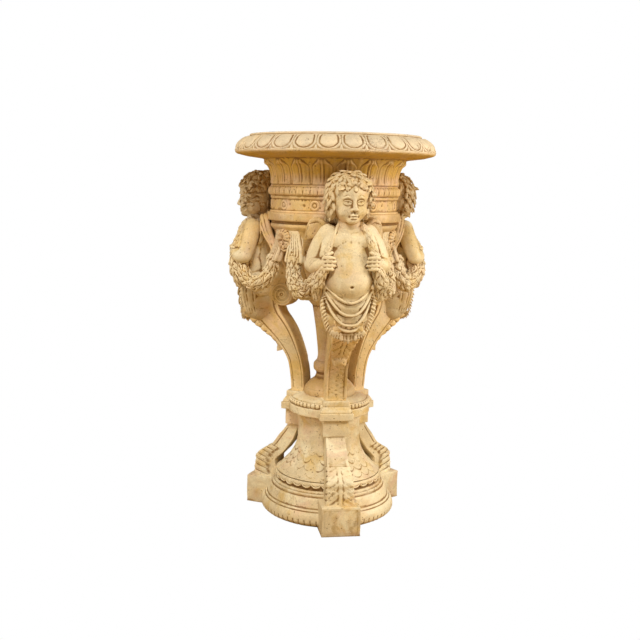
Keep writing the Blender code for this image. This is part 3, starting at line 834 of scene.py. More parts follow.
def buildBase():
    top = planter["baseTop"]
    ring, core, plate = 0.233, 0.108, 0.141
    slabLow, capLow, footTop = top - 0.0638, top - 0.1208, 0.0985
    torus = curveThrough([(ring - 0.011, 0.008), (ring - 0.0015, 0.018), (ring, 0.0305),
                          (ring - 0.003, 0.044), (ring - 0.009, 0.053)], 22)
    bell = curveThrough([(0.1800, 0.1500), (0.1700, 0.1556), (0.1575, 0.1690), (0.1362, 0.1914),
                         (0.1192, 0.2214), (0.1098, 0.2520), (core, 0.2800)], 60)
    profile = [(0.0, 0.0), (ring - 0.026, 0.0), (ring - 0.022, 0.0032), (ring - 0.011, 0.008), *torus[1:],
               (ring - 0.014, 0.055), (ring - 0.0145, 0.0600), (ring - 0.0205, 0.0640),
               (ring - 0.0225, 0.0720),
               (ring - 0.0300, 0.0950), (ring - 0.0365, 0.0990), (ring - 0.0370, 0.1030),
               (ring - 0.0365, 0.1080),
               (ring - 0.0420, 0.1095), (0.1865, 0.1125), (0.1800, 0.1410), (0.1765, 0.1425),
               (0.1765, 0.1450), (0.1805, 0.1475), *bell,
               (core, slabLow + 0.004), (plate - 0.005, slabLow + 0.001), (plate - 0.001, slabLow + 0.003),
               (plate, slabLow + 0.006), (plate, slabLow + 0.0300), (plate - 0.0045, slabLow + 0.0330),
               (plate - 0.0045, slabLow + 0.0500), (plate - 0.0090, slabLow + 0.0510),
               (plate - 0.018, slabLow + 0.0570), (plate - 0.039, top), (0.0, top)]
    prof = resample(profile, baseSet["step"])
    z = prof[:, 1][:, None]
    start = int(np.argmin(np.hypot(prof[:, 0] - 0.1145, prof[:, 1] - 0.236)))
    arc = arcFrom(prof, start)[:, None]
    down = -arc

    def relief(ang):
        pitch = baseSet["scaleRow"]
        row = np.floor(down / pitch)
        out = np.zeros((len(prof), ang.shape[1]))
        for k, over in ((row, False), (row - 1, True)):
            t = down / pitch - k
            u = wrapped(ang, baseSet["scales"], np.mod(k, 2) * math.pi / baseSet["scales"])
            edge = 1.0 + 0.62 * np.sqrt(np.clip(1 - u * u, 0, 1))
            scale = 0.0034 * (0.15 + 0.85 * t / 1.6) - 0.0010 * u * u
            scale = scale + 0.0005 * bump(u, 0.1) * ramp(t, 0.3, 0.8)
            scale = scale - 0.0016 * ramp(t - edge, -0.16, 0.0)
            out = np.where((t < edge) if over else True, scale, out)
        zone = ramp(down, 0.0, 0.012) * (1 - ramp(z, 0.150, 0.146)) * (z > 0.146) * (z < 0.24)
        skin = np.stack([prof[:, :1] * np.sin(ang), -prof[:, :1] * np.cos(ang), z + 0 * ang],
                        -1).reshape(-1, 3)
        rubbed = 0.30 + 0.85 * ramp(valueNoise(skin, 0.055, 3) + 0.5 * valueNoise(skin, 0.02, 4), -0.45,
                                    0.45)
        out = (out - 0.0022) * zone * rubbed.reshape(out.shape)
        # a hanging scalloped edge over a sunk groove
        u = wrapped(ang, baseSet["arches"])
        hem = 0.1395 - 0.0155 * np.sqrt(np.clip(1 - (u * 0.97) ** 2, 0, 1))
        hem = hem + 0.0012 * np.sin(ang * 5) * np.cos(ang * 11 + 1)
        over = ramp(z - hem, -0.0014, 0.0010)
        edge = bump(z - hem - 0.0030, 0.0018) * 0.0013 - 0.0011 * bump(z - hem - 0.0066, 0.0016)
        sunk = -0.0085 * (1 - over) * ramp(z, 0.1130, 0.1210)
        hung = (over * 0.0042 + edge) * (1 - ramp(z, 0.1430, 0.1460)) + sunk
        out = out + hung * (z > 0.1120) * (z < 0.1470)
        # reeded torus
        u = wrapped(ang, baseSet["gadroons"])
        reed = 0.0040 * (np.sqrt(np.clip(1 - u * u, 0, 1)) - 0.95)
        lobes = ramp(z, 0.0040, 0.0080) * (1 - ramp(z, 0.0250, 0.0350))
        out = out + reed * lobes * (prof[:, 0][:, None] > 0.2)
        # beads on the plate
        u = wrapped(ang, 54)
        bead = np.hypot(u * 0.0082, z - (slabLow + 0.0415))
        beads = 0.0050 * np.sqrt(np.clip(1 - (bead / 0.0076) ** 2, 0, 1))
        out = out + beads * (prof[:, 0][:, None] > plate - 0.006) * (z > slabLow)
        return out

    body = turnedMesh("baseBody", prof, baseSet["columns"], relief)
    addPiece("baseBody", thinned("baseBody", worn(body, 11, 0.0007, 0.002)), "base", replaced="base")

    foot = boxMesh("foot", (-0.0655, -0.286, 0.0), (0.0655, -0.150, footTop), 0.003, 0.0036)

    def cutFoot(v, n):
        # the underside stays flat; a sunk line runs round the front
        face = n[:, 1] < -0.7
        q = np.minimum(0.0655 - np.abs(v[:, 0]), np.minimum(v[:, 2], footTop - v[:, 2]))
        line = -0.0004 * bump(q - 0.010, 0.0018) * face
        uneven = -0.0010 * (1 + valueNoise(v, 0.035, 31)) * (v[:, 2] > 0.003)
        return line + uneven

    foot = worn(carve(foot, cutFoot), 33, 0.0004, 0.0035, 0.35)
    v, _ = readMesh(foot)
    v[:, 2] = np.where(v[:, 2] < 0.0012, 0.0, v[:, 2])
    movePoints(foot, v)

    def streaks(v, share):
        # brown weather streaks on the upright faces of the blocks
        p = v * np.array((1.0, 1.0, 0.42))
        mark = ramp(valueNoise(p, 0.022, 37) + 0.7 * valueNoise(p, 0.009, 38), -0.02, 0.45)
        side = ramp(footTop - v[:, 2], 0.004, 0.016)
        return mark * side * 0.95, mark * side * 0.40

    turnedCopies("footBlock", foot, "base", sootAndShade=streaks)

    cap = boxMesh("cap", (-0.0436, -0.1477, capLow), (0.0436, -0.060, slabLow + 0.004), 0.0022, 0.0036)
    turnedCopies("cap", worn(cap, 41, 0.0006, 0.002), "base")
    for i, (low, high) in enumerate(((0.0, 0.0255), (0.0250, 0.0460), (0.0455, 0.0638))):
        half, far = (0.0580, 0.0545, 0.0455)[i], (0.1596, 0.1545, 0.1450)[i]
        step = boxMesh("step", (-half, -far, slabLow + low), (half, -0.050, slabLow + high), 0.0028, 0.0036)
        step = worn(step, 51 + i, 0.0005, 0.0024)
        v, _ = readMesh(step)
        if i == 1:
            # the middle course slopes back to the top one
            share = ramp(v[:, 2], slabLow + low + 0.004, slabLow + high)
            v[:, 0] *= 1 - 0.150 * share
            v[:, 1] *= 1 - 0.055 * share
        v[:, 2] = np.where(v[:, 2] > top - 0.0012, top, v[:, 2])
        movePoints(step, v)
        turnedCopies(f"slabStep{i}", step, "base")

    outer = [(0.1450, 0.3020), (0.1462, 0.2930), (0.1590, 0.2750), (0.1780, 0.2515), (0.2006, 0.2190),
             (0.2240, 0.2010),
             (0.2425, 0.1900), (0.2565, 0.1770), (0.2615, 0.1640), (0.2600, 0.1520), (0.2635, 0.1400),
             (0.2645, 0.1215), (0.2640, 0.0960)]
    inner = [(0.1000, 0.3020), (0.1030, 0.2850), (0.1130, 0.2600), (0.1220, 0.2370), (0.1370, 0.2160),
             (0.1520, 0.1955),
             (0.1640, 0.1830), (0.1750, 0.1715), (0.1835, 0.1620), (0.1850, 0.1500), (0.1825, 0.1380),
             (0.1750, 0.1200), (0.1700, 0.0960)]
    outer, inner = pairUp(outer, inner, 0.0019)
    total = lengthsAlong(outer)[-1]

    def width(level):
        return float(np.interp(level, [0.098, 0.125, 0.162, 0.205, 0.255, 0.300],
                               [0.0460, 0.0445, 0.0440, 0.0390, 0.0365, 0.0340]))

    def bracketRelief(part, u, d, s, level):
        t = s / total
        leaf = acanthus((t - 0.42) / 0.58, u, 5.0, 0.0026) * ramp(t, 0.42, 0.50)
        plain = 0.0007 * ramp(np.abs(u), 0.70, 0.80) - 0.0004
        leaf = leaf + 0.0020 * (np.abs(np.sin(math.pi * t * 12)) ** 0.6 - 0.6) * ramp(np.abs(u), 0.45, 0.95)
        front = np.where(t > 0.44, leaf, plain)
        # scalloped leaf edges wrap on to the sides
        leafy = ramp(t, 0.40, 0.48)
        lobe = np.abs(np.sin(math.pi * (t * 12 - d * 1.3))) ** 0.6
        scallop = 0.0036 * lobe * (1 - ramp(d, 0.36, 0.62)) * leafy
        vein = 0.0004 * np.sin(math.tau * (t * 36 - d * 3.9)) * (1 - ramp(d, 0.4, 0.6)) * leafy
        incised = -0.0014 * bump(d - 0.26, 0.035) * (1 - ramp(t, 0.36, 0.46)) * ramp(t, 0.04, 0.1)
        return np.where(part == 0, front, np.where(part == 2, 0.0, scallop + vein + incised)) - 0.0012

    bracket = sweptSlab("bracket", outer, inner, width, bracketRelief, front=33, side=17, back=9)
    turnedCopies("bracket", worn(bracket, 61, 0.0005, 0.0016), "base")
    print("base", len(body.polygons))


buildBase()

# centre of the stand: urn body and stem, legs with their scrolls
# the urn's stone, also used for the wings and bosses, is darker and browner than the figures': partly its
# own colour, partly painted shade where the urn lies back behind the figures
urnSet = {
    "cream": (0.55, 0.365, 0.155), "ochre": (0.47, 0.28, 0.07), "dirtAndShadeColour": (0.19, 0.088, 0.022), "stainAndShade": 0.50,
    "creviceDirtAndShade": 1.9,
    "rose": 0.40, "gold": 0.5, "bleach": 0.30,
}
legSet = {
    "cream": (0.76, 0.56, 0.27), "ochre": (0.58, 0.37, 0.11), "dirtAndShadeColour": (0.24, 0.12, 0.030), "stainAndShade": 0.42,
    "creviceDirtAndShade": 1.0,
    "rose": 0.34, "gold": 0.75, "bleach": 0.35,
}
stone["urn"] = makeStone("urnStone", urnSet)
stone["leg"] = makeStone("legStone", legSet)


def urnAt(z):
    levels = [0.728, 0.75, 0.79, 0.84, 0.89, 0.94, 0.9655, 0.985, 1.0455]
    return np.interp(z, levels, [0.066, 0.086, 0.122, 0.156, 0.178, 0.190, 0.194, 0.204, 0.2245])


def buildCore():
    foot, top = planter["standFoot"], planter["basinSeat"] - 0.0003
    bowl = curveThrough([(0.2050, 0.986), (0.1965, 0.966), (0.1900, 0.940), (0.1780, 0.890),
                         (0.1560, 0.840), (0.1220, 0.790), (0.0860, 0.750), (0.0660, 0.727)], 60)
    stem = curveThrough([(0.0660, 0.727), (0.0535, 0.650), (0.0445, 0.568), (0.0450, 0.545),
                         (0.0480, 0.535)], 40)
    flare = curveThrough([(0.0475, 0.490), (0.0530, 0.475), (0.0730, 0.459), (0.0840, 0.446),
                          (0.0865, 0.440)], 14)
    profile = [(0.0, top), (0.2225, top), (0.2245, top - 0.002), (0.2245, 1.0205), (0.2235, 1.0190),
               (0.2150, 1.0160), (0.2125, 1.0100), (0.2160, 1.0060), (0.2160, 0.9990), (0.2140, 0.9960),
               *bowl, *stem[1:], (0.0560, 0.527), (0.0580, 0.521), (0.0580, 0.508), (0.0560, 0.502),
               (0.0490, 0.495), *flare, (0.0880, 0.4385), (0.0895, 0.430), (0.0895, foot), (0.0, foot)]
    prof = resample(profile, 0.0026)
    z = prof[:, 1][:, None]

    def relief(ang):
        # tapering panels between raised ribs on the lower urn
        u = wrapped(ang, 12)
        rib = 0.0028 * bump(np.abs(u) - 1, 0.20) - 0.0006 * bump(np.abs(u) - 0.68, 0.10)
        panel = (rib - 0.0010) * ramp(z, 0.74, 0.79) * (1 - ramp(z, 0.962, 0.972))
        return panel * (prof[:, 0][:, None] > 0.06) * (z > 0.73)

    mesh = worn(turnedMesh("urnCore", prof, 360, relief), 71, 0.0007, 0.0016)
    v, _ = readMesh(mesh)
    v[:, 2] = np.where(v[:, 2] < foot + 0.0012, foot, np.where(v[:, 2] > top - 0.0012, top, v[:, 2]))
    movePoints(mesh, v)
    addPiece("urnCore", thinned("urnCore", mesh), "urn", replaced="figure_stand")

    outer = [(0.2350, 0.8550), (0.2700, 0.8100), (0.2900, 0.7700), (0.3060, 0.7350), (0.3080, 0.7120),
             (0.2980, 0.6840),
             (0.2700, 0.6570), (0.2360, 0.6280), (0.2040, 0.6020), (0.1760, 0.5740), (0.1580, 0.5500),
             (0.1440, 0.5190), (0.1356, 0.4730), (0.1307, 0.4191)]
    inner = [(0.1200, 0.8600), (0.1300, 0.8200), (0.1400, 0.7950), (0.1700, 0.7650), (0.1880, 0.7330),
             (0.1760, 0.6940),
             (0.1560, 0.6670), (0.1350, 0.6350), (0.1180, 0.5990), (0.1060, 0.5660), (0.0990, 0.5450),
             (0.0930, 0.5220), (0.0860, 0.4800), (0.0820, 0.4191)]
    outer, inner = pairUp(outer, inner, 0.0025)

    def legRelief(part, u, d, s, level):
        border = 0.0014 * ramp(np.abs(u), 0.70, 0.80) - 0.0008
        wave = 0.34 * math.sin(s / 0.0165 * math.pi)
        scroll = 0.0008 * bump(u - wave, 0.20) + 0.0004 * bump(np.abs(u + wave) - 0.12, 0.16)
        face = border + scroll * (np.abs(u) < 0.66)
        flank = -0.0017 * bump(d - 0.20, 0.030) - 0.0014 * bump(d - 0.86, 0.030)
        flank = flank + 0.0007 * bump(d - 0.5, 0.25)
        flank = flank * ramp(level, 0.428, 0.436)
        return np.where(part == 0, face, np.where(part == 2, border * 0.4, flank)) - 0.0010

    leg = sweptSlab("leg", outer, inner, lambda level: 0.0372, legRelief, front=31, side=21, back=11)
    leg = worn(leg, 81, 0.0006, 0.0018)
    v, _ = readMesh(leg)
    v[:, 2] = np.maximum(v[:, 2], foot)
    movePoints(leg, v)
    turnedCopies("scrollLeg", leg, "leg")

    half, size = 0.0395, 0.0405
    disc = resample([(0.0, half - 0.001), (size - 0.003, half - 0.001), (size - 0.0006, half - 0.0026),
                     (size, half - 0.006), (size, -half + 0.006), (size - 0.0006, -half + 0.0026),
                     (size - 0.003, -half + 0.001), (0.0, -half + 0.001)], 0.0019)

    def spiral(ang):
        r = disc[:, 0][:, None]
        side = np.sign(disc[:, 1])[:, None]
        turn = r / 0.0135 - side * ang / math.tau
        groove = np.abs(np.mod(turn + 0.5, 1) - 0.5)
        flat = np.abs(disc[:, 1])[:, None] > half - 0.0015
        cut = -0.0020 * bump(groove, 0.18) * (r > 0.006) * flat
        rim = -0.0008 * (1 + np.cos(ang * 26)) * (~flat) * (np.abs(disc[:, 1])[:, None] < half * 0.72)
        return cut + 0.0025 * bump(r, 0.006) * flat + rim

    roll = turnedMesh("volute", disc, 120, spiral)
    v, _ = readMesh(roll)
    movePoints(roll, np.stack([v[:, 2], v[:, 0] - 0.172, v[:, 1] + 0.757], 1))
    turnedCopies("volute", worn(roll, 91, 0.0004, 0.0012), "leg")

    line = [(0.2760, 0.7900), (0.3020, 0.7500), (0.3225, 0.7180), (0.3140, 0.6840), (0.2840, 0.6570),
            (0.2500, 0.6310), (0.2180, 0.6070), (0.1960, 0.5860), (0.1890, 0.5730), (0.1960, 0.5680)]
    back = [(r - 0.017, z - 0.004) for r, z in line[:3]] + [(r - 0.013, z + 0.012) for r, z in line[3:7]]
    back += [(0.1760, 0.5860), (0.1720, 0.5600), (0.1960, 0.5500)]
    face, back = pairUp(line, back, 0.0019)
    total = lengthsAlong(face)[-1]
    steps = lengthsAlong(face) / total
    lobed = 0.0050 * np.abs(np.sin(math.pi * steps * 12)) ** 0.6
    half = np.interp(steps, [0, 0.15, 0.4, 0.65, 0.85, 0.95, 1],
                     [0.034, 0.041, 0.044, 0.038, 0.028, 0.023, 0.018]) + lobed
    spot = iter(half)

    def leafRelief(part, u, d, s, level):
        t = s / total
        front = acanthus(t, u, 6.0, 0.0034) + 0.0045 * (1 - u * u)
        return np.where(part == 0, front, 0.0) - 0.0006

    leaf = sweptSlab("legLeaf", face, back, lambda level: float(next(spot)), leafRelief, front=41, side=7,
                     back=9)
    turnedCopies("legLeaf", worn(leaf, 95, 0.0004, 0.0014), "leg")
    print("urn, stem and legs")


buildCore()

# child figures
standSet = {
    "voxel": 0.0022, "headVoxel": 0.0015, "garlandVoxel": 0.0016, "wingVoxel": 0.0016,
    "cream": (0.735, 0.60, 0.36), "ochre": (0.61, 0.40, 0.125), "sootAndShadeColour": (0.35, 0.195, 0.05),
    "dirtAndShadeColour": (0.19, 0.09, 0.024),
    "stainAndShade": 0.33, "creviceDirtAndShade": 2.1, "rose": 0.34, "gold": 0.55, "bleach": 0.65,
}
stone["stand"] = makeStone("standStone", standSet)


def curl(clay, centre, facing, size, turns=1.5, hand=1, start=0.0):
    facing = np.array(facing, float)
    facing /= np.linalg.norm(facing)
    a = np.cross(facing, (0.2, 0.1, 1.0))
    a /= np.linalg.norm(a)
    b = np.cross(facing, a)
    n = 14
    t = np.linspace(0, 1, n)
    angle = start + hand * t * turns * math.tau
    r = size * (1.0 - 0.78 * t)
    pts = np.array(centre) + r[:, None] * (np.cos(angle)[:, None] * a + np.sin(angle)[:, None] * b)
    pts = pts + facing * (size * 0.30 * t ** 1.5)[:, None]
    clay.limb(pts, size * (0.34 - 0.10 * t), sides=8)


def lock(clay, root, flow, length, facing, size=0.0052, bend=0.5, strands=3, lift=0.0):
    # a crescent of combed strands that lies on the head and lifts at its tip
    facing = np.array(facing, float)
    facing /= np.linalg.norm(facing)
    flow = np.array(flow, float)
    flow = flow - (flow @ facing) * facing
    flow /= np.linalg.norm(flow)
    side = np.cross(facing, flow)
    t = np.linspace(0, 1, 8)
    spread = np.sin(math.pi * (0.12 + 0.80 * t)) ** 0.8
    for i in range(strands):
        across = (i - (strands - 1) / 2) * size * 0.82
        way = bend * length * 0.42 * (1 - (1 - t) ** 2)
        high = size * (0.25 + 0.75 * np.sin(t * math.pi * 0.86)) + lift * t ** 2 - abs(across) * 0.25
        pts = np.array(root) + flow * (length * (t - 0.10 * t ** 3 * abs(bend)))[:, None]
        pts = pts + side * (way + across * spread)[:, None] + facing * high[:, None]
        clay.limb(pts, size * 0.62 * (0.55 + 0.55 * spread - 0.50 * t ** 2), sides=7)


def buildHead():
    # smooth skull first, then softened features, then hair is laid on
    form = Clay()
    form.ball((0, -0.2880, 1.1060), (0.0580, 0.0600, 0.0680), detail=4)
    form.ball((0, -0.3045, 1.0725), (0.0460, 0.0425, 0.0395), detail=4)
    form.ball((0, -0.3300, 1.0470), (0.0200, 0.0170, 0.0145))
    form.ball((0, -0.3180, 1.1260), (0.0450, 0.0310, 0.0340))
    for s in (-1, 1):
        form.ball((s * 0.0245, -0.3205, 1.0720), (0.0218, 0.0203, 0.0215))
    form.limb([(0, -0.290, 1.060), (0, -0.286, 1.020), (0, -0.280, 0.985)], [0.0340, 0.0345, 0.042],
              sides=24)
    face = Clay()
    face.add(*solidParts(fused("skull", form, 0.0024, 16)))
    face.limb([(0, -0.3430, 1.1060), (0, -0.3475, 1.0950), (0, -0.3545, 1.0820)], [0.0078, 0.0066, 0.0072],
              sides=14)
    face.ball((0, -0.3550, 1.0790), (0.0082, 0.0078, 0.0066))
    for s in (-1, 1):
        face.ball((s * 0.0080, -0.3490, 1.0765), (0.0056, 0.0064, 0.0052))
        face.limb([(s * 0.0010, -0.3480, 1.0612), (s * 0.0055, -0.3470, 1.0610),
                   (s * 0.0112, -0.3435, 1.0586)],
                  [0.0036, 0.0036, 0.0020], sides=10)
        face.limb([(s * 0.0085, -0.3440, 1.1090), (s * 0.0200, -0.3445, 1.1125),
                   (s * 0.0340, -0.3345, 1.1075)],
                  [0.0034, 0.0044, 0.0034], sides=10)
    face.limb([(-0.0076, -0.3440, 1.0542), (0, -0.3468, 1.0528), (0.0076, -0.3440, 1.0542)],
              [0.0034, 0.0044, 0.0034], sides=10)
    clay = Clay()
    clay.add(*solidParts(fused("face", face, standSet["headVoxel"], 9)))
    # cap of hair, covered with locks that fall from the crown
    clay.ball((0, -0.2790, 1.1240), (0.0665, 0.0625, 0.0590), detail=4)
    clay.ball((0, -0.2600, 1.0900), (0.0630, 0.0400, 0.0560), detail=4)
    for s in (-1, 1):
        clay.ball((s * 0.0545, -0.2880, 1.1060), (0.0150, 0.0290, 0.0340))
        clay.ball((s * 0.0530, -0.2790, 1.0700), (0.0150, 0.0260, 0.0290))
    local = np.random.default_rng(5)
    middle = np.array((0.0, -0.2790, 1.1180))
    for ring, (tilt, count) in enumerate(((12, 6), (27, 12), (43, 17), (58, 21), (72, 24))):
        for i in range(count):
            a = math.tau * (i + 0.5 * (ring % 2)) / count + local.uniform(-0.10, 0.10)
            b = math.radians(tilt + local.uniform(-4, 4))
            away = np.array((math.sin(a) * math.sin(b), -math.cos(a) * math.sin(b), math.cos(b)))
            root = middle + away * np.array((0.0655, 0.0620, 0.0630))
            # the brow stays free of the lower rings
            if tilt > 50 and away[1] < -0.45 and root[2] < 1.1420:
                continue
            down = np.array((math.sin(a) * math.cos(b), -math.cos(a) * math.cos(b), -math.sin(b)))
            around = np.array((math.cos(a), math.sin(a), 0.0))
            lean = local.uniform(-0.75, 0.75)
            lock(clay, root, down + around * lean, 0.0235 + local.uniform(-0.003, 0.004), away, 0.0047,
                 -1.5 * np.sign(lean), 3, 0.0030)
    # vine leaves and short curls across the brow
    for i in range(13):
        a = math.radians(-92 + 15.3 * i)
        away = np.array((math.sin(a), -math.cos(a) * 0.96, 0.25))
        root = np.array((0.0, -0.2830, 1.1345)) + away * np.array((0.0600, 0.0590, 0.0))
        root[2] += 0.0110 * math.cos(a * 0.9) + 0.004 * (i % 2)
        lean = np.array((math.cos(a) * (0.85 if i % 2 else -0.75), math.sin(a) * 0.7, -0.55))
        if i % 3 == 1:
            clay.leaf(root, root + away * 0.004 + lean * 0.026, 0.0230, 0.0050, away, 0.2, 2)
        else:
            lock(clay, root, lean, 0.0230, away, 0.0046, 1.3 if i % 2 else -1.3, 3, 0.0040)
    for s in (-1, 1):
        for i in range(4):
            for j in range(6):
                x = 0.0590 + 0.0085 * math.sin(j * 0.70 + 0.5) + local.uniform(-0.0012, 0.0012)
                x -= 0.0055 * (i == 0)
                y = -0.3120 + 0.0160 * i + local.uniform(-0.0015, 0.0015)
                z = 1.1300 - 0.0150 * j + local.uniform(-0.002, 0.002)
                away = (s, -0.85 + 0.42 * i, 0.1)
                hand = 1 if (i + j) % 2 else -1
                # the lowest lock beside the cheek is left off
                if i == 0 and j > 4:
                    continue
                lock(clay, (s * x, y, z + 0.007), (0, 0.55 * hand, -1), 0.0225, away, 0.0045, 1.6 * hand, 3,
                     0.0035)
    for i in range(6):
        for j in range(6):
            spot = (-0.052 + 0.0208 * i, -0.2290, 1.132 - 0.016 * j)
            lock(clay, spot, (0.5 * (1 if (i + j) % 2 else -1), 0, -1), 0.024, (0.03 * (i - 2.5), 1, 0),
                 0.0050,
                 1.4 if (i + j) % 2 else -1.4, 3, 0.0030)
    mesh = fused("head", clay, standSet["headVoxel"], 1)

    def cutFace(v, n):
        # sockets, lids, pupils, nostrils, mouth line and small dents
        front = ramp(-v[:, 1], 0.312, 0.322)
        total = stamps(v, [((s * 0.0205, -0.3440, 1.0985), (0.0150, 0.020, 0.0100), -0.0034)
                           for s in (-1, 1)])
        total += stamps(v, [((s * 0.0060, -0.3540, 1.0735), (0.0026, 0.006, 0.0018), -0.0024)
                            for s in (-1, 1)])
        total += stamps(v, [((s * 0.0150, -0.3420, 1.0572), (0.0030, 0.010, 0.0040), -0.0016)
                            for s in (-1, 1)])
        total += stamps(v, [((0, -0.3480, 1.0675), (0.0022, 0.008, 0.0040), -0.0010),
                            ((0, -0.3440, 1.0480), (0.0095, 0.010, 0.0024), -0.0018)])
        for s in (-1, 1):
            x = (v[:, 0] - s * 0.0208) / 0.0118
            inside = np.clip(1 - x * x, 0, 1)
            ball = np.sqrt(np.clip(1 - (x * 0.92) ** 2 - ((v[:, 2] - 1.0970) / 0.0078) ** 2, 0, 1))
            upper = 1.0972 + 0.0034 * inside ** 0.75 + 0.0008 * x * s
            lower = 1.0962 - 0.0034 * inside + 0.0008 * x * s
            slit = ramp(upper - v[:, 2], -0.0004, 0.0007) * ramp(v[:, 2] - lower, -0.0004, 0.0007)
            slit = slit * (np.abs(x) < 1)
            near = np.exp(-np.clip(np.abs(x) - 0.80, 0, 9) ** 2 / 0.03)
            total += 0.0020 * ball - 0.0003 * slit
            above = v[:, 2] - upper
            total += near * (0.0006 * bump(above - 0.0014, 0.0016) - 0.0011 * bump(above + 0.0005, 0.0009))
            gaze = np.hypot(v[:, 0] - s * 0.0208 - 0.0010, v[:, 2] - 1.0975)
            total += slit * (-0.0014 * bump(gaze, 0.0022))
        mouth = 1.0572 - 0.0008 * (v[:, 0] / 0.012) ** 2 + 0.0006 * bump(v[:, 0], 0.004)
        total += -0.0018 * bump(v[:, 2] - mouth, 0.0012) * np.exp(-(v[:, 0] / 0.0120) ** 4)
        return total * front

    mesh = carve(mesh, cutFace)

    def hairAt(v):
        away = np.maximum(ramp(np.abs(v[:, 0]), 0.046, 0.053), ramp(v[:, 1], -0.312, -0.300))
        return np.maximum(ramp(v[:, 2], 1.130, 1.142), away) * ramp(v[:, 2], 1.036, 1.048)

    def roughen(v, n):
        combed = valueNoise(v * np.array((1, 1, 0.6)), 0.0040, 5) * 0.0006 * hairAt(v)
        return combed + valueNoise(v, 0.012, 8) * 0.0002

    mesh = carve(mesh, roughen)
    v, _ = readMesh(mesh)
    # soot on the hair, and painted shade in the eye slits, under the brows, in the nostrils, along the
    # mouth line and under the lip
    marks = [((s * 0.0208, -0.3400, 1.0975), (0.0095, 0.05, 0.0030), 0.45) for s in (-1, 1)]
    marks += [((s * 0.0200, -0.3400, 1.1050), (0.0130, 0.05, 0.0040), 0.40) for s in (-1, 1)]
    marks += [((s * 0.0060, -0.3540, 1.0740), (0.0030, 0.05, 0.0022), 0.70) for s in (-1, 1)]
    marks += [((0, -0.3440, 1.0568), (0.0100, 0.05, 0.0016), 0.75),
              ((0, -0.3440, 1.0485), (0.0090, 0.05, 0.0030), 0.30)]
    hair = np.maximum(hairAt(v), stamps(v, marks) * ramp(-v[:, 1], 0.312, 0.322))
    v[:, 0] = v[:, 0] * 1.03 - 0.0015
    v[:, 2] = 1.1860 - (1.1870 - v[:, 2]) * 1.065
    # the head turns a little to its left and looks down
    free = ramp(v[:, 2], 1.000, 1.050)
    turn, nod = 0.10 * free, 0.07 * free
    x, y = v[:, 0].copy(), v[:, 1] + 0.288
    v[:, 0] = x * np.cos(turn) - y * np.sin(turn)
    v[:, 1] = x * np.sin(turn) + y * np.cos(turn) - 0.288
    v[:, 2] += (v[:, 1] + 0.288) * np.sin(nod)
    # the back of the head is cut away over the basin's joint
    r = np.hypot(v[:, 0], v[:, 1])
    held = (v[:, 2] > planter["basinSeat"] - 0.002) & (r < planter["headBack"] + 0.001)
    k = (planter["headBack"] + 0.001) / np.maximum(r, 1e-6)
    v[:, 0] = np.where(held, v[:, 0] * k, v[:, 0])
    v[:, 1] = np.where(held, v[:, 1] * k, v[:, 1])
    movePoints(mesh, v)
    setField(mesh, "hair", hair)
    turnedCopies("head", mesh, "stand", sootAndShade=lambda v, share: (0.16 + 0.50 * share, 0.26 + 0.80 * share))
    print("heads", len(mesh.polygons))


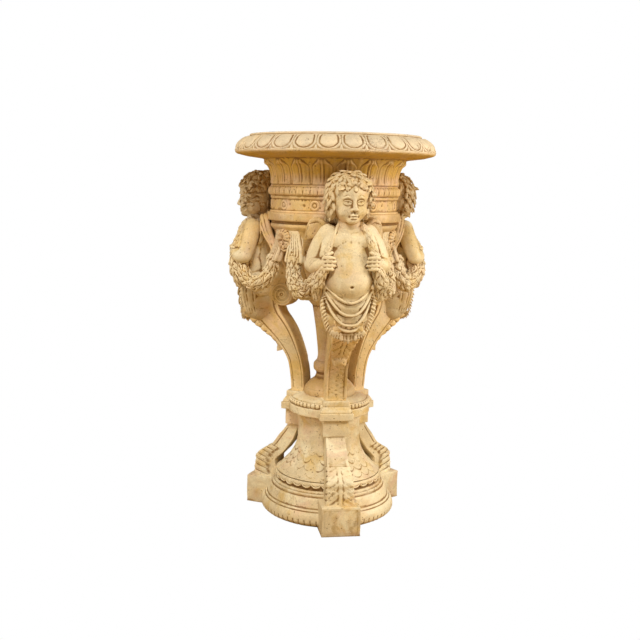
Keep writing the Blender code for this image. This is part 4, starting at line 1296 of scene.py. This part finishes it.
def buildBody():
    clay = Clay()
    clay.ball((0, -0.2700, 0.9560), (0.0720, 0.0590, 0.0680), detail=4)
    clay.ball((0, -0.2780, 0.9100), (0.0690, 0.0640, 0.0900), detail=4)
    clay.ball((0, -0.2880, 0.8660), (0.0720, 0.0690, 0.0860), detail=4)
    clay.ball((0, -0.2950, 0.8420), (0.0740, 0.0690, 0.0640), detail=4)
    clay.ball((0, -0.2760, 0.8000), (0.0800, 0.0640, 0.0600), detail=4)
    clay.ball((0, -0.2250, 0.9000), (0.0620, 0.0720, 0.1250), detail=4)
    clay.ball((0, -0.2830, 1.0000), (0.0420, 0.0380, 0.0260))
    for s in (-1, 1):
        clay.ball((s * 0.0320, -0.3060, 0.9640), (0.0330, 0.0190, 0.0270))
        clay.ball((s * 0.0640, -0.2740, 0.9900), (0.0285, 0.0310, 0.0290))
        clay.limb([(s * 0.066, -0.274, 0.989), (s * 0.087, -0.271, 0.955), (s * 0.102, -0.273, 0.922),
                   (s * 0.112, -0.279, 0.894)], [0.0285, 0.0290, 0.0275, 0.0245], sides=20)
        clay.ball((s * 0.1130, -0.2800, 0.8925), (0.0255, 0.0260, 0.0245))
        # the cloth and leaves that close the gaps beside the chest and under the forearm
        clay.limb([(s * 0.056, -0.286, 0.985), (s * 0.064, -0.296, 0.955), (s * 0.076, -0.308, 0.922)],
                  [0.0230, 0.0240, 0.0190], sides=16)
        clay.ball((s * 0.0880, -0.3020, 0.8680), (0.0220, 0.0260, 0.0260))
        clay.limb([(s * 0.113, -0.279, 0.892), (s * 0.108, -0.299, 0.890), (s * 0.097, -0.317, 0.894),
                   (s * 0.087, -0.328, 0.899)], [0.0250, 0.0250, 0.0215, 0.0165], sides=20)
    mesh = fused("torso", clay, standSet["voxel"], 16)
    clay = Clay()
    clay.add(*solidParts(mesh))
    for s in (-1, 1):
        clay.ball((s * 0.0800, -0.3350, 0.9010), (0.0170, 0.0150, 0.0190))
        for i in range(4):
            z = 0.9190 - 0.0115 * i
            tip = (0.0535, 0.0500, 0.0515, 0.0570)[i]
            clay.limb([(s * 0.087, -0.341, z - 0.002), (s * 0.076, -0.3505, z + 0.001),
                       (s * 0.063, -0.3500, z),
                       (s * tip, -0.3400, z - 0.002)], [0.0060, 0.0064, 0.0060, 0.0048], sides=10)
        clay.limb([(s * 0.085, -0.334, 0.915), (s * 0.072, -0.339, 0.930), (s * 0.060, -0.338, 0.934)],
                  [0.0075, 0.0070, 0.0056], sides=10)
    mesh = fused("body", clay, standSet["voxel"], 1)

    def shape(v, n):
        # soft breast, navel, belly fold and dimples
        total = stamps(v, [((0, -0.364, 0.8290), (0.0050, 0.020, 0.0040), -0.0060),
                           ((0, -0.364, 0.8360), (0.0090, 0.020, 0.0040), 0.0012),
                           ((0, -0.330, 0.9700), (0.0070, 0.030, 0.0240), -0.0014),
                           ((0, -0.345, 0.9060), (0.0060, 0.030, 0.0300), -0.0010)])
        for s in (-1, 1):
            total += stamps(v, [((s * 0.032, -0.327, 0.9580), (0.0040, 0.012, 0.0040), 0.0012),
                                ((s * 0.105, -0.306, 0.9080), (0.0160, 0.014, 0.0040), -0.0016),
                                ((s * 0.030, -0.330, 0.9375), (0.0260, 0.030, 0.0095), -0.0020),
                                ((s * 0.094, -0.326, 0.9150), (0.0040, 0.012, 0.0160), -0.0010)])
        return total + valueNoise(v, 0.024, 9) * 0.0005 + valueNoise(v, 0.009, 4) * 0.0002

    turnedCopies("body", carve(mesh, shape), "stand")


def buildCloth():
    # a wrapped cloth that hangs in four swags from the hips, with a frilled edge and a fringe
    swags = ((0.7790, 0.0790, 0.3500, 0.0560, 0.0044, 1.8), (0.7400, 0.0810, 0.3480, 0.0880, 0.0042, 2.2),
             (0.7080, 0.0790, 0.3430, 0.1060, 0.0042, 2.6), (0.6890, 0.0560, 0.3330, 0.0560, 0.0042, 2.4))
    clay = Clay()
    clay.ball((0, -0.2740, 0.8060), (0.0790, 0.0660, 0.0460), detail=4)
    clay.ball((0, -0.2760, 0.7700), (0.0780, 0.0660, 0.0580), detail=4)
    clay.ball((0, -0.2740, 0.7320), (0.0740, 0.0640, 0.0580), detail=4)
    clay.ball((0, -0.2700, 0.6980), (0.0630, 0.0560, 0.0480), detail=4)
    body = solidParts(fused("wrap", clay, 0.003, 10))
    clay = Clay()
    clay.add(*body)
    for low, spread, depth, sag, thick, power in swags:
        u = np.linspace(-1, 1, 29)
        u = np.sign(u) * np.abs(u) ** 0.8
        y = -depth + (depth - 0.290) * np.abs(u) ** 2.4
        clay.limb(np.stack([spread * u, y, low + sag * np.abs(u) ** power], 1),
                  thick * (1.10 - 0.25 * u ** 2), sides=10)
    for s in (-1, 1):
        # bunched ends at the hips, falling gathers and a frill of small curls along the edge
        clay.ball((s * 0.0740, -0.3000, 0.8230), (0.0110, 0.0140, 0.0110))
        clay.limb([(s * 0.0660, -0.2840, 0.8060), (s * 0.0680, -0.2820, 0.7600),
                   (s * 0.0620, -0.2780, 0.7150)],
                  [0.0150, 0.0170, 0.0140], sides=16)
        for i in range(5):
            inset = 0.0006 * i * i
            pts = [(s * (0.0770 - inset), -0.3030 + 0.0095 * i, 0.8160),
                   (s * (0.0815 - inset), -0.3010 + 0.0098 * i, 0.7700),
                   (s * (0.0750 - inset), -0.2970 + 0.0090 * i, 0.7250),
                   (s * (0.0650 - inset), -0.2900 + 0.0075 * i, 0.6900)]
            clay.limb(curveThrough(pts, 9), [0.0044, 0.0048, 0.0052, 0.0054, 0.0054, 0.0052, 0.0050, 0.0046,
                                             0.0036], sides=10)
        edge = curveThrough([(s * 0.0740, -0.3080, 0.7960), (s * 0.0745, -0.3090, 0.7600),
                             (s * 0.0700, -0.3100, 0.7250),
                             (s * 0.0600, -0.3140, 0.6950), (s * 0.0420, -0.3190, 0.6760),
                             (s * 0.0200, -0.3220, 0.6680)], 17)
        for i, spot in enumerate(edge):
            out = np.array((s * (1.0 - 0.9 * (i / 16) ** 2), -0.10, -0.45 - 1.3 * (i / 16)))
            out /= np.linalg.norm(out)
            clay.limb([spot - out * 0.004, spot + out * 0.0070, spot + out * (0.0125 + 0.0030 * (i % 2))],
                      [0.0018, 0.0021, 0.0013], sides=8)
    # leafy fringe below the hem, lying on the leg
    for i in range(9):
        a = -0.048 + 0.012 * i
        root = (a, -0.3160, 0.6860)
        tip = (a * 0.86, -0.3150 + abs(a) * 0.1, 0.6480 + abs(a) * 0.40)
        clay.leaf(root, tip, 0.0150, 0.0066, (a * 6, -1, 0.1), 0.08, 2)
    mesh = fused("drapery", clay, standSet["voxel"], 2)

    def folds(v, n):
        # the cloth drops softly behind each swag and swells towards the next, with a few puckers
        front = ramp(-v[:, 1], 0.286, 0.300) * ramp(v[:, 2], 0.672, 0.684)
        total = np.zeros(len(v))
        for k, (low, spread, depth, sag, thick, power) in enumerate(swags):
            u = np.abs(v[:, 0] / spread)
            slope = sag * power * u ** (power - 1) / spread
            below = (low + sag * u ** power - v[:, 2]) / np.sqrt(1 + slope ** 2)
            total += -0.0012 * bump(below - 0.0070, 0.0034) + 0.0012 * bump(below - 0.0180, 0.0075)
            pucker = 0.0009 * np.cos(v[:, 0] / 0.0042 + k * 1.3)
            total += pucker * bump(below - 0.0155, 0.0060) * bump(v[:, 0], 0.030)
        return total * front + valueNoise(v, 0.011, 14) * 0.0004

    def hem(v, share):
        low = 0.35 * ramp(-v[:, 2], -0.700, -0.672)
        return 0.22 + low, 0.28 + low

    turnedCopies("drapery", carve(mesh, folds), "stand", sootAndShade=hem)
    print("drapery", len(mesh.polygons))


def leafyTube(clay, points, radii, pitch, count, high, seed, sides=88, step=0.0017):
    # a tube along a path, carved all round with overlapping ribbed leaves
    points = np.asarray(points, float)
    along = lengthsAlong(points)
    s = np.linspace(0, along[-1], int(along[-1] / step))
    path = np.stack([np.interp(s, along, points[:, k]) for k in range(3)], 1)
    thick = np.interp(s, along, radii)[:, None]
    tang = np.gradient(path, axis=0)
    tang /= np.linalg.norm(tang, axis=1)[:, None]
    a = np.stack([path[:, 0], path[:, 1], np.zeros(len(path))], 1)
    a -= (a * tang).sum(1)[:, None] * tang
    a /= np.linalg.norm(a, axis=1)[:, None]
    b = np.cross(tang, a)
    ang = np.arange(sides) * math.tau / sides
    away = np.cos(ang)[None, :, None] * a[:, None, :] + np.sin(ang)[None, :, None] * b[:, None, :]
    skin = (path[:, None, :] + away * thick[:, :, None]).reshape(-1, 3)
    shift = valueNoise(skin, 0.026, seed).reshape(len(s), sides)
    turn = valueNoise(skin, 0.022, seed + 1).reshape(len(s), sides)
    size = valueNoise(skin, 0.018, seed + 2).reshape(len(s), sides)
    t = s[:, None] / pitch + shift * 0.42
    around = ang[None, :] + turn * 0.40
    row = np.floor(t)
    out = np.zeros_like(t)
    for k, over in ((row, False), (row - 1, True)):
        u = np.abs(wrapped(around, count, np.mod(k, 2) * math.pi / count))
        q = t - k
        edge = 1.0 + 0.92 * (1 - u ** 1.25)
        leaf = 0.15 + 0.50 * q - 0.45 * u * u + 0.26 * bump(u, 0.11) - 0.16 * bump(u - 0.26, 0.08)
        leaf += 0.13 * np.cos(math.tau * (2.6 * q - 1.9 * u)) * ramp(u, 0.16, 0.34)
        leaf -= 1.05 * ramp(q - edge, -0.17, 0.0)
        out = np.where(q < edge, leaf, out) if over else leaf
    grown = (thick + high * (out - 0.35 + 0.30 * size))[:, :, None]
    skin = (path[:, None, :] + away * grown).reshape(-1, 3)
    ends = [path[:1] - tang[:1] * thick[0] * 0.6, path[-1:] + tang[-1:] * thick[-1] * 0.6]
    clay.add(np.concatenate([skin, *ends]), tubeFaces(len(s), sides))


def buildGarlands():
    clay = Clay()
    for s in (-1, 1):
        # fluted cuff below the urn's edge, out of which the swag comes
        for i in range(6):
            shift = (i - 2.5) * 3.1
            line = [polar(s * (49.0 + shift * 0.60), 0.2030, 0.9880),
                    polar(s * (47.5 + shift * 0.75), 0.2050, 0.9500),
                    polar(s * (46.0 + shift * 0.9), 0.2120, 0.9200),
                    polar(s * (44.6 + shift), 0.2230, 0.8900)]
            clay.limb(curveThrough(line, 9), [0.0040, 0.0044, 0.0048, 0.0052, 0.0056, 0.0060, 0.0066,
                                              0.0074, 0.0062], sides=10)
            clay.limb(curveThrough(line, 9) * np.array((0.94, 0.94, 1.0)), [0.0100] * 9, sides=8)
        knots = [(44.6, 0.2120, 0.9020), (44.4, 0.2190, 0.8700), (42.5, 0.2290, 0.8380),
                 (37.5, 0.2430, 0.8130),
                 (31, 0.2620, 0.8010), (25.5, 0.2840, 0.8080), (21, 0.3060, 0.8330), (17.5, 0.3210, 0.8620),
                 (15.5, 0.3230, 0.8850)]
        path = curveThrough([polar(s * a, r, z) for a, r, z in knots], 25)
        leafyTube(clay, path, np.interp(np.arange(25), [0, 3, 11, 18, 24],
                                        [0.0195, 0.0205, 0.0245, 0.0210, 0.0120]),
                  0.0240, 6, 0.0088, 5 + s)
        # garland from the nape over the shoulder to the hand: slim on one side, leafy on the other
        scarf = curveThrough([(s * 0.0330, -0.2880, 1.0200), (s * 0.0440, -0.3080, 1.0040),
                              (s * 0.0530, -0.3180, 0.9800),
                              (s * 0.0630, -0.3250, 0.9500), (s * 0.0760, -0.3340, 0.9200)], 25)
        if s < 0:
            clay.limb(scarf[::2], np.full(13, 0.0048), sides=10)
            leafyTube(clay, scarf[15:] + np.array((-0.005, 0.002, 0)), np.linspace(0.0050, 0.0115, 10),
                      0.0150, 5, 0.0048, 11)
        else:
            leafyTube(clay, scarf + np.array((0.003, 0, 0)), np.linspace(0.0068, 0.0125, 25), 0.0160, 5,
                      0.0050, 13)
        # leaves that fall below the hand
        tail = curveThrough([(s * 0.0820, -0.3340, 0.8900), (s * 0.0950, -0.3270, 0.8560),
                             (s * 0.1030, -0.3150, 0.8220), (s * 0.1010, -0.3030, 0.7820)], 19)
        leafyTube(clay, tail, np.interp(np.arange(19), [0, 4, 10, 18], [0.0110, 0.0160, 0.0185, 0.0060]),
                  0.0195, 6, 0.0066, 17 + s)
    mesh = fused("garland", clay, standSet["garlandVoxel"], 1)
    turnedCopies("garland", mesh, "stand", sootAndShade=lambda v, share: (share + 0.26, share + 0.30))
    print("garlands", len(mesh.polygons))


def buildWings():
    clay = Clay()
    for s in (-1, 1):
        # bent leading edge that runs down the outer side, long quills beside it and short coverts above
        edge = curveThrough([polar(s * 13, 0.240, 0.985), polar(s * 16.5, 0.244, 1.014),
                             polar(s * 22, 0.244, 1.028),
                             polar(s * 27.5, 0.241, 1.018), polar(s * 30.5, 0.233, 0.985),
                             polar(s * 33, 0.223, 0.950),
                             polar(s * 36.5, 0.212, 0.920), polar(s * 38.5, 0.203, 0.897)], 20)
        clay.limb(edge, np.interp(np.arange(20), [0, 7, 19], [0.0075, 0.0078, 0.0050]), sides=12)
        clay.limb(edge * np.array((0.95, 0.95, 1.0)), [0.0110] * 20, sides=12)
        for i in range(9):
            t = i / 8
            low = 0.925 - 0.022 * t
            quill = curveThrough([polar(s * (15 + 12.5 * t), 0.2450, 1.014 - 0.008 * t * t),
                                  polar(s * (18 + 12.5 * t), 0.2410, 0.978),
                                  polar(s * (21 + 13 * t), 0.2250, 0.950 - 0.006 * t),
                                  polar(s * (24 + 13.5 * t), urnAt(low) + 0.012, low)], 10)
            clay.limb(quill, [0.0036, 0.0040, 0.0043, 0.0045, 0.0046, 0.0048, 0.0046, 0.0043, 0.0038,
                              0.0026], sides=10,
                      flat=0.85, up=polar(s * 20, 1.0, 0.15))
            for share in (0.955, 0.91):
                clay.limb(quill * np.array((share, share, 1.0)), [0.0090] * 10, sides=8)
            for row in range(3):
                a = 15.5 + 12.0 * t + 0.7 * (row % 2)
                high = 1.018 - 0.008 * t * t - 0.0125 * row
                spot = np.array(polar(s * a, 0.2485, high))
                tip = np.array(polar(s * (a + 0.9), 0.2475, high - 0.017))
                clay.limb([spot, (spot + tip) / 2, tip], [0.0042, 0.0050, 0.0032], sides=8, flat=0.6,
                          up=polar(s * a, 1.0, 0.1))
    mesh = fused("wings", clay, standSet["wingVoxel"], 1)
    mesh = carve(mesh, lambda v, n: valueNoise(v, 0.010, 19) * 0.0004)
    turnedCopies("wings", mesh, "urn")
    print("wings", len(mesh.polygons))


def buildBosses():
    # an oval shell of nine lobes over two facing curls, on a raised plate
    clay = Clay()

    def onPlate(side, high, out=0.0):
        return np.array(polar(60 + math.degrees(side * 1.55 / 0.206), 0.2110 + out - (0.967 - high) * 0.12,
                              high))

    clay.limb([onPlate(0, 0.975, -0.022), onPlate(0, 0.940, -0.022)], [0.0290, 0.0240], sides=20)
    for i in range(9):
        a = math.radians(-112 + 28 * i)
        tip = onPlate(0.0170 * math.sin(a), 0.9660 + 0.0215 * math.cos(a), 0.001)
        mid = onPlate(0.0110 * math.sin(a), 0.9660 + 0.0140 * math.cos(a), 0.0065)
        clay.limb([onPlate(0, 0.964, 0.002), mid, tip], [0.0034, 0.0056, 0.0056], sides=10)
    for s in (-1, 1):
        curl(clay, onPlate(s * 0.0082, 0.9440, 0.003), polar(60, 1, 0), 0.0110, 1.5, s, 1.6)
        clay.limb(curveThrough([onPlate(s * 0.018, 0.958, 0.0), onPlate(s * 0.0185, 0.942, 0.0),
                                onPlate(s * 0.0120, 0.927, 0.001), onPlate(0, 0.9205, 0.002)], 9),
                  [0.0036] * 9, sides=8)
    clay.ball(onPlate(0, 0.9330, 0.004), (0.0060, 0.0060, 0.0080), detail=2)
    mesh = fused("boss", clay, 0.0018, 1)
    turnedCopies("boss", mesh, "urn")
    print("bosses", len(mesh.polygons))


buildHead()
buildBody()
buildCloth()
buildGarlands()
buildWings()
buildBosses()

# camera, light and floor
cameraSet = {
    "distance": 3.1327, "height": 1.1477, "focal": 913.92, "pitch": 0.1551, "yaw": 0.0347,
    "roll": 0.0187, "centre": (299.66, 324.05), "turn": 0.1718,
}
# azimuth, height, size, watts and tint of each lamp
lampSet = {
    "key": (-14, 3.4, 1.0, 88, (1.0, 0.985, 0.95)),
    "left": (-92, 1.5, 1.5, 33, (1.0, 0.95, 0.86)),
    "right": (72, 1.5, 1.3, 60, (1.0, 0.95, 0.86)),
    "low": (-8, 0.55, 0.9, 9, (1.0, 0.93, 0.80)),
}


def aim():
    c = cameraSet
    y, p = c["yaw"], c["pitch"]
    forward = Vector((-math.sin(y) * math.cos(p), math.cos(y) * math.cos(p), -math.sin(p)))
    right = Vector((math.cos(y), math.sin(y), 0))
    up = right.cross(forward)
    turn = Matrix.Rotation(-c["turn"], 3, "Z")
    s, k = math.sin(c["roll"]), math.cos(c["roll"])
    side = turn @ (right * k + up * s)
    high = turn @ (up * k - right * s)
    back = turn @ -forward
    spot = turn @ Vector((0, -c["distance"], c["height"]))
    return Matrix((side, high, back)).transposed().to_4x4(), spot


def buildView():
    scene = bpy.context.scene
    cam = bpy.data.cameras.new("camera")
    cam.sensor_width = 36
    cam.lens = cameraSet["focal"] / 640 * 36
    cam.shift_x = (320 - cameraSet["centre"][0]) / 640
    cam.shift_y = (cameraSet["centre"][1] - 320) / 640
    view = bpy.data.objects.new("camera", cam)
    facing, spot = aim()
    view.matrix_world = Matrix.Translation(spot) @ facing
    scene.collection.objects.link(view)
    scene.camera = view

    for name, (azimuth, high, size, power, tint) in lampSet.items():
        data = bpy.data.lights.new(name, "AREA")
        data.energy = power
        data.size = size
        data.color = tint
        lamp = bpy.data.objects.new(name, data)
        lamp.location = polar(azimuth, 2.6, high)
        aimed = (Vector((0, 0, 0.72)) - lamp.location).to_track_quat("-Z", "Y")
        lamp.rotation_euler = aimed.to_euler()
        scene.collection.objects.link(lamp)

    world = bpy.data.worlds.new("studio")
    world.use_nodes = True
    scene.world = world
    Sock.tree = world.node_tree
    seen = Sock(Sock.node("ShaderNodeLightPath").outputs["Is Camera Ray"])
    paint = Sock.tree.nodes["Background"]
    Sock.put(paint.inputs["Color"], blendColours(seen, (1.0, 0.60, 0.20), (1.0, 1.0, 1.0)))
    Sock.put(paint.inputs["Strength"], seen * 0.85 + 0.15)

    floorMat = bpy.data.materials.new("studioFloor")
    floorMat.use_nodes = True
    Sock.tree = floorMat.node_tree
    Sock.tree.nodes.remove(Sock.tree.nodes["Principled BSDF"])
    seen = Sock(Sock.node("ShaderNodeLightPath").outputs["Is Camera Ray"])
    matt = Sock(Sock.node("ShaderNodeBsdfDiffuse", {"Color": (0.46, 0.31, 0.12, 1)}).outputs[0])
    white = Sock(Sock.node("ShaderNodeEmission").outputs[0])
    both = Sock(Sock.node("ShaderNodeMixShader", {0: seen, 1: matt, 2: white}).outputs[0])
    Sock.put(Sock.tree.nodes["Material Output"].inputs["Surface"], both)
    bm = bmesh.new()
    bmesh.ops.create_grid(bm, x_segments=1, y_segments=1, size=6)
    mesh = bpy.data.meshes.new("floor")
    bm.to_mesh(mesh)
    bm.free()
    mesh.materials.append(floorMat)
    floor = bpy.data.objects.new("floor", mesh)
    scene.collection.objects.link(floor)
    floor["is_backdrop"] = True
    scene.view_settings.view_transform = "Standard"
    scene.view_settings.look = "None"
    scene.view_settings.exposure = 0.0


buildView()
total = sum(len(o.data.polygons) for o in bpy.context.scene.objects if o.type == "MESH")
print("faces in the scene", total)
lines = ["cad"] + [" ".join(f"{v:.4f}" for v in p) for p in cadBox]
lines += ["model"] + [" ".join(f"{v:.4f}" for v in p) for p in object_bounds()]
